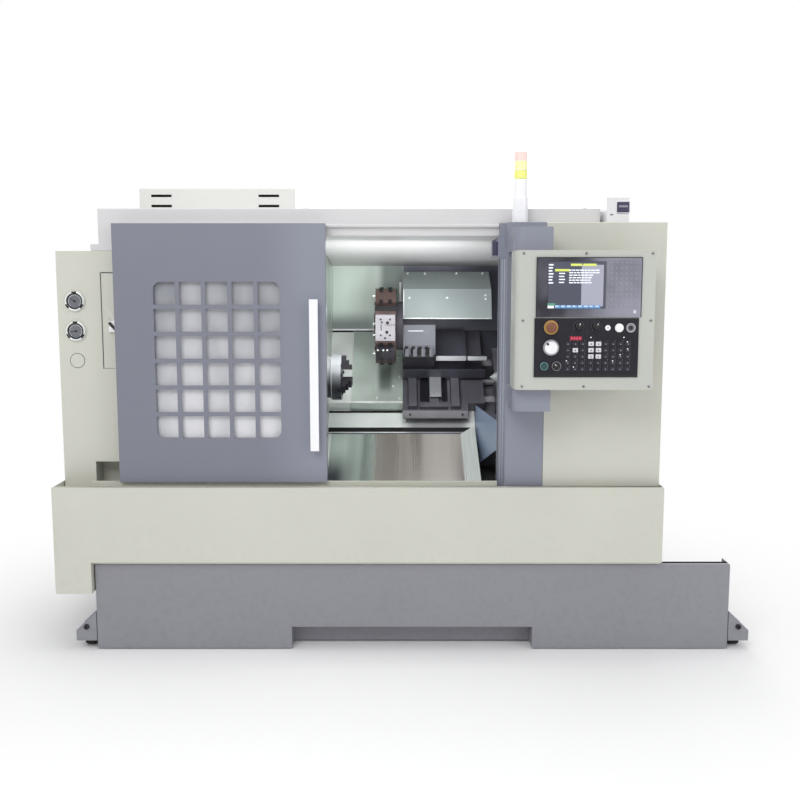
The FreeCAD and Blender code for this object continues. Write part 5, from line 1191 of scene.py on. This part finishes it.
def way_cover_details():
    """Edges, gap and screws of the stepped covers, and the saddle's strips."""
    low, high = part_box("way_cover_middle")
    edge_size = (0.004, (high.z - COVER_FOOT[1]) * math.sqrt(2.0) * 0.96, 0.002)
    # Painted highlight: the middle cover's edge in white lacquer.
    slabs("middle_cover_edge_highlight", white_gloss, "middle_cover",
          [(low.x + 0.003, (low.y + high.y - 0.002) / 2, (COVER_FOOT[1] + high.z) / 2)], edge_size, SLOPE,
          edge=0.0005)
    slabs("lower_cover_gap", hollow, "frame", [(-0.1845, 0.204, 0.900)], (0.359, 0.013, 0.0004), SLOPE,
          **PRINTED)
    slabs("saddle_edge", stainless, "carriage",
          [(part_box("saddle")[0].x + 0.003, *(COVER_FOOT + COVER_HEAD) / 2)], edge_size, SLOPE, edge=0.0005)
    slabs("saddle_rail_lines", hollow, "carriage", spots((0.0215, 0.0645, 0.2275, 0.2705), 0.1815, 1.005),
          (0.003, 0.175, 0.0006), SLOPE, edge=0.0002, columns=4)
    strip_face, strip_z, strip_thick = 0.1288, 0.898, 0.003
    slabs("saddle_front_strip", pale_steel, "carriage", [(0.1535, strip_face, strip_z)],
          (0.314, 0.038, strip_thick), edge=0.001)
    screws("saddle_front_screws", "carriage", spots((0.030, 0.283), strip_face - strip_thick, strip_z),
           0.0055, finish=dark_steel)
    slabs("slide_tongue", zinc, "cross_slide", [(0.154, 0.197, 1.026)], (0.056, 0.130, 0.003), SLOPE,
          edge=0.001)
    places = ((-0.020, 0.022), (-0.020, 0.118), (-0.052, 0.075), (-0.020, 0.210), (-0.020, 0.300),
              (-0.130, 0.022), (-0.130, 0.160))
    screws("saddle_screws", "carriage", [(x, *(COVER_FOOT + rise)) for x, rise in places], 0.0062, SLOPE,
           finish=bright, socket=False)


def manifold_details():
    """Slot, base, four glands and their nuts on the coolant manifold."""
    face, foot = 0.100, 1.177
    slabs("manifold_slot", bright, "cross_slide", [(0.056, face, 1.3005)], (0.072, 0.0035, 0.0012),
          edge=0.0004)
    slabs("manifold_base", black, "cross_slide", [(0.073, face + 0.006, foot + 0.005)],
          (0.160, 0.014, 0.018), corner=0.002, edge=0.001)
    glands = spots((0.013, 0.045, 0.076, 0.108), face, foot + 0.030)
    slabs("manifold_glands", hollow, "cross_slide", glands, (0.025, 0.036, 0.014), corner=0.012, edge=0.003)
    turned("gland_nuts", hollow, "cross_slide", glands + (0.0, -0.006, 0.010),
           boss(0.002, 0.0112, (0.0112, 0.007), (0.006, 0.010)), columns=6)


def drip_shelf():
    """Shelf that carries drips to the front of the cross slide, with two pale lips on its edge."""
    z, front, back, left, right = 1.168, 0.1195, 0.292, 0.152, 0.397
    width = right - left
    slabs("drip_shelf", slide_sheet, "cross_slide", [((left + right) / 2, (front + back) / 2, z)],
          (width, back - front, 0.004), UP, edge=0.001)
    lip_x = left + width * np.array([0.30, 0.81])
    slabs("drip_shelf_lips", zinc, "cross_slide", spots(lip_x, front + 0.003, z + 0.001),
          [(width * 0.59, 0.023, 0.004), (width * 0.37, 0.020, 0.004)], edge=0.001)


def chute_details():
    """Gasket over the chute, the chute's bright left edge and the interlock's slot in the door post."""
    low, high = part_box("way_cover_fixed")
    slabs("way_cover_gasket", hollow, "frame", [((low.x + high.x) / 2, low.y + 0.013, low.z + 0.014)],
          (high.x - low.x - 0.004, 0.026, 0.0012), SLOPE, edge=0.0004)
    head, foot = np.array([0.050, 0.815]), np.array([-0.430, 0.604])
    chute_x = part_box("chute_panel")[0].x + 0.016
    slabs("chute_left_edge", bright, "frame", [(chute_x, *(head + foot) / 2)], (0.018, 0.520, 0.004),
          facing((1, 0, 0), (0, *(head - foot))), edge=0.001)
    slabs("interlock_slot", smoke, "frame", [(0.371, -0.4752, 1.664)], (0.021, 0.056, 0.0008), edge=0.0002)


def post_fold_highlights():
    """Bright folds, painted highlights, and a dark gap, painted shade, on the recessed edge of the door post.
    """
    face, low, high = -0.476, 0.662, 1.622
    z, tall = (low + high) / 2, high - low
    slabs("post_fold_highlights", fold_highlight, "frame", spots((0.4005, 0.4105), face, z),
          [(0.0035, tall, 0.0008), (0.0050, tall, 0.0008)], edge=0.0003, columns=4)
    # Painted shade: a dark strip where the gap beside the folds is in shade.
    slabs("post_gap_shade", seam, "frame", [(0.3885, face, z)], (0.0035, tall, 0.0004), **PRINTED)


def sump_pan_shade():
    """Dark pan under the tail guard, between the chute and the door post, near black as painted shade."""
    slabs("sump_pan_shade", hollow, "frame", [(0.4525, -0.212, 0.664)], (0.231, 0.486, 0.003), UP, edge=0.001)


wall_details()
post_fold_highlights()
sump_pan_shade()
guard_details()
turret_details()
chuck_details()
way_cover_details()
manifold_details()
drip_shelf()
chute_details()


# ------------------------------------------------------------------ casters, base and covers
def wheel(node):
    """Caster wheel: rubber tyre with two grooves, and a hub on each side, each a closed profile turned."""
    low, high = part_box(node)
    half = (high.x - low.x) / 2
    radius = (high.z - low.z) / 2
    bore, hub_half = 0.0041, half * 0.99
    tread = [(0.62, 1.0), (0.9, 1.0), (1.0, 0.7), (1.0, 0.3), (0.96, 0.26), (0.96, 0.18), (1.0, 0.14)]
    tyre_side = [(radius * r, half * x) for r, x in tread]
    hub_side = [(bore, hub_half), (radius * 0.24, hub_half), (radius * 0.30, half * 0.7),
                (radius * 0.56, half * 0.7), (radius * 0.63, hub_half)]
    for part, finish, side, columns in (("tyre", rubber, tyre_side, 48), ("hub", zinc, hub_side, 32)):
        profile = [(r, -x) for r, x in side] + side[::-1] + [(side[0][0], -side[0][1])]
        piece = turned(node + "_" + part, finish, node, [middle_of(low, high)], profile, RIGHT,
                       columns=columns)
        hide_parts(node)


for wheel_node in ("wheel_front_left", "wheel_front_right", "wheel_rear_left", "wheel_rear_right"):
    wheel(wheel_node)


def caster_bolts():
    """Bolts of the caster brackets and their weld seams to the tank's ends."""
    low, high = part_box("coolant_tank")
    from_end, seam_from_end = 0.044, 0.0865
    seats = spots((low.x + from_end, high.x - from_end), low.y, 0.098)
    screws("bracket_bolts", "tank", seats, 0.0115, finish=dark_steel)
    seams = spots((low.x + seam_from_end, high.x - seam_from_end), low.y, 0.100)
    slabs("bracket_seams", seam, "tank", seams, (0.0030, 0.124, 0.0004), **PRINTED)


def cover_screws():
    """Button screws that hold the sheet covers, along their edges at the back."""
    radius = 0.0060
    low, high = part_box("rear_cover")
    seats = spots(np.linspace(low.x + 0.06, high.x - 0.06, 7), high.y, (low.z + 0.025, 1.10))
    cabinet_low, cabinet_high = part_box("electrical_cabinet")
    clear = ((seats[:, 0] < cabinet_low.x - 0.02) | (seats[:, 0] > cabinet_high.x + 0.02)
             | (seats[:, 2] < cabinet_low.z))
    screws("rear_cover_screws", "frame", seats[clear], radius, BACK)
    low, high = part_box("left_cover")
    seats = spots(low.x, np.linspace(low.y + 0.03, high.y - 0.03, 5), (low.z + 0.03, high.z - 0.03))
    screws("left_cover_screws", "frame", seats, radius, LEFT)
    low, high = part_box("right_cabinet")
    seats = spots(high.x, np.linspace(low.y + 0.03, high.y - 0.03, 5), (low.z + 0.05, high.z - 0.03))
    screws("right_cabinet_screws", "frame", seats, radius, RIGHT)


def access_latch():
    """Dark seam round the access door, the shadowed sides of its latch recess, and the slanted lever."""
    low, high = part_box("access_door")
    face = low.y + 0.0118
    x, _, z = middle_of(low, high)
    slabs("access_seam", seam, "frame", [(low.x - 0.0012, face, z), (x, face, high.z + 0.0012)],
          [(0.0034, high.z - low.z, 0.0006), (high.x - low.x, 0.0034, 0.0006)], **PRINTED)
    left, right, foot, top = -1.222, -1.162, 1.322, 1.416
    slabs("latch_recess_edges", hollow, "frame",
          [(left + 0.0012, face, (foot + top) / 2), ((left + right) / 2, face, top - 0.001)],
          [(0.0036, top - foot, 0.0006), (right - left, 0.0030, 0.0006)], **PRINTED)
    x, z, plate_thick = left + 0.0165, foot + 0.0245, 0.0008
    slabs("latch_plate", white_gloss, "frame", [(x, low.y, z)], (0.027, 0.045, plate_thick), corner=0.001,
          edge=0.0003)
    slabs("latch_lever", black, "frame", [(x + 0.003, low.y - plate_thick, z)], (0.0115, 0.044, 0.007),
          turned_seat(FRONT, math.radians(42.0)), corner=0.003, edge=0.0015)


def electrical_details():
    """Hinge knuckles, quarter-turn latches and the yellow plate behind the main switch."""
    low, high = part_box("electrical_door")
    tall = high.z - low.z
    knuckle_tall, latch_tall = 0.052, 0.006
    knuckle_z = low.z + np.array([0.08, 0.5, 0.92]) * tall - knuckle_tall / 2
    turned("door_hinge_knuckles", zinc, "frame", spots(low.x + 0.008, high.y - 0.008, knuckle_z),
           boss(0.0012, 0.0078, (0.0078, knuckle_tall)), UP, columns=24)
    latches = spots(high.x - 0.045, high.y, low.z + tall * np.array([0.12, 0.5, 0.88]))
    turned("door_latches", zinc, "electrical_door", latches,
           boss(0.001, 0.013, (0.013, 0.004), (0.010, latch_tall)), BACK, columns=32)
    slabs("door_latch_slots", hollow, "electrical_door", latches + (0.0, latch_tall, 0.0),
          (0.003, 0.014, 0.0004), BACK, edge=MARK_EDGE)
    switch_x, _, switch_z = middle_of(*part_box("main_switch"))
    slabs("switch_plate", yellow, "electrical_door", [(switch_x, high.y, switch_z)],
          (0.064, 0.064, 0.0002), BACK, corner=0.004, edge=MARK_EDGE)


caster_bolts()
cover_screws()
access_latch()
electrical_details()


# ------------------------------------------------------------------ stage, light, camera
WHITE_RAYS = ("Is Camera Ray", "Is Glossy Ray", "Is Transmission Ray")
WHITE = (1.0, 1.0, 1.0, 1.0)


def studio():
    """Pale floor on a flat grid, white further out where the camera or a mirror sees it."""
    reach, lines = 30.0, 13
    span = np.linspace(-reach, reach, lines)
    points = np.stack(np.meshgrid(span, span, indexing="ij") + [np.zeros((lines, lines))], axis=-1)
    index = np.arange(lines * lines).reshape(lines, lines)
    quads = np.stack([index[:-1, :-1], index[1:, :-1], index[1:, 1:], index[:-1, 1:]], axis=-1).reshape(-1, 4)
    mesh = bpy.data.meshes.new("studio_floor")
    mesh.from_pydata(points.reshape(-1, 3).tolist(), [], quads.tolist())
    floor = bpy.data.objects.new("studio_floor", mesh)
    bpy.context.scene.collection.objects.link(floor)
    f = Finish("studio floor")
    f.surface(Base_Color=(0.97, 0.97, 0.97, 1.0), Roughness=0.9)
    far = f.node("ShaderNodeVectorMath", {"operation": "LENGTH"}, f.place, out=1).ramp(1.3, 2.8)
    glow = f.node("ShaderNodeEmission", {}, WHITE, 1.0)
    path = f.node("ShaderNodeLightPath", {}, out=None)
    seen_by, mirrored, through = (Socket(f, path.outputs[ray]) for ray in WHITE_RAYS)
    direct = seen_by.maths("MAXIMUM", seen_by, mirrored.maths("MAXIMUM", mirrored, through))
    both = f.node("ShaderNodeMixShader", {}, far * direct, Socket(f, f.shader.outputs[0]), glow)
    f.tree.links.new(both.output, f.tree.nodes["Material Output"].inputs["Surface"])
    mesh.materials.append(f.material)


def sky(strength):
    """Soft surrounding light, white to the camera, in mirrors and through glass."""
    world = bpy.data.worlds.new("studio")
    world.use_nodes = True
    bpy.context.scene.world = world
    tree = world.node_tree
    tree.nodes.clear()
    path = tree.nodes.new("ShaderNodeLightPath")
    seen_ray = path.outputs[WHITE_RAYS[0]]
    for name in WHITE_RAYS[1:]:
        either = tree.nodes.new("ShaderNodeMath")
        either.operation = "MAXIMUM"
        tree.links.new(seen_ray, either.inputs[0])
        tree.links.new(path.outputs[name], either.inputs[1])
        seen_ray = either.outputs[0]
    mix = tree.nodes.new("ShaderNodeMixShader")
    tree.links.new(seen_ray, mix.inputs[0])
    for slot, colour, power in ((1, (0.98, 0.985, 1.0, 1.0), strength), (2, WHITE, 1.0)):
        background = tree.nodes.new("ShaderNodeBackground")
        background.inputs[0].default_value = colour
        background.inputs[1].default_value = power
        tree.links.new(background.outputs[0], mix.inputs[slot])
    out = tree.nodes.new("ShaderNodeOutputWorld")
    tree.links.new(mix.outputs[0], out.inputs["Surface"])


def softbox(name, place, aim, size, power, shows=True):
    """Flat lamp turned to face its aim; one that doesn't show is unseen by the camera and in mirrors."""
    lamp = bpy.data.lights.new(name, "AREA")
    lamp.shape = "RECTANGLE"
    lamp.size, lamp.size_y = size
    lamp.energy = power
    made = bpy.data.objects.new(name, lamp)
    bpy.context.scene.collection.objects.link(made)
    made.location = place
    offset = np.array(aim) - np.array(place)
    pan = math.atan2(offset[0], -offset[1])
    tilt = math.atan2(math.hypot(offset[0], offset[1]), -offset[2])
    made.rotation_euler = (tilt, 0.0, pan + math.pi)
    made.visible_camera = shows
    made.visible_glossy = shows


def camera():
    """Camera at a set place and focal length: level, looking a little down."""
    sensor, focal_pixels, picture_pixels, look_down = 36.0, 950.0, 800.0, 6.9
    lens_data = bpy.data.cameras.new("photo_view")
    lens_data.sensor_fit = "HORIZONTAL"
    lens_data.sensor_width = sensor
    lens_data.lens = sensor * focal_pixels / picture_pixels
    made = bpy.data.objects.new("photo_view", lens_data)
    bpy.context.scene.collection.objects.link(made)
    made.location = (-0.018, -4.4, 1.516)
    made.rotation_euler = (math.radians(90.0 - look_down), 0.0, 0.0)
    bpy.context.scene.camera = made


# Each lamp: its place, what it faces, its width and height, and its power in watts.
ROOM_LAMPS = {
    "key": ((-1.6, -4.8, 4.2), (0.0, 0.0, 0.9), (3.0, 2.4), 104.0),
    "fill": ((4.2, -4.0, 2.6), (0.3, 0.0, 0.9), (2.6, 2.6), 40.0),
    "top": ((0.0, 0.2, 5.2), (0.0, 0.0, 0.8), (4.0, 3.0), 85.0),
    "back": ((0.5, 5.0, 3.2), (0.0, 0.5, 1.0), (3.0, 2.4), 80.0),
}
INNER_LAMPS = {
    "work_lamp": ((-0.02, -0.45, 1.50), (-0.05, 0.42, 1.10), (0.62, 0.22), 4.6),
    "ceiling_wash": ((0.05, -0.20, 1.20), (0.05, 0.05, 1.70), (0.70, 0.40), 1.7),
}
SKY_STRENGTH = 0.56

camera()
studio()
sky(SKY_STRENGTH)
for lamps, shows in ((ROOM_LAMPS, True), (INNER_LAMPS, False)):
    for name, values in lamps.items():
        softbox(name, *values, shows=shows)
bpy.context.scene.view_settings.view_transform = "Standard"
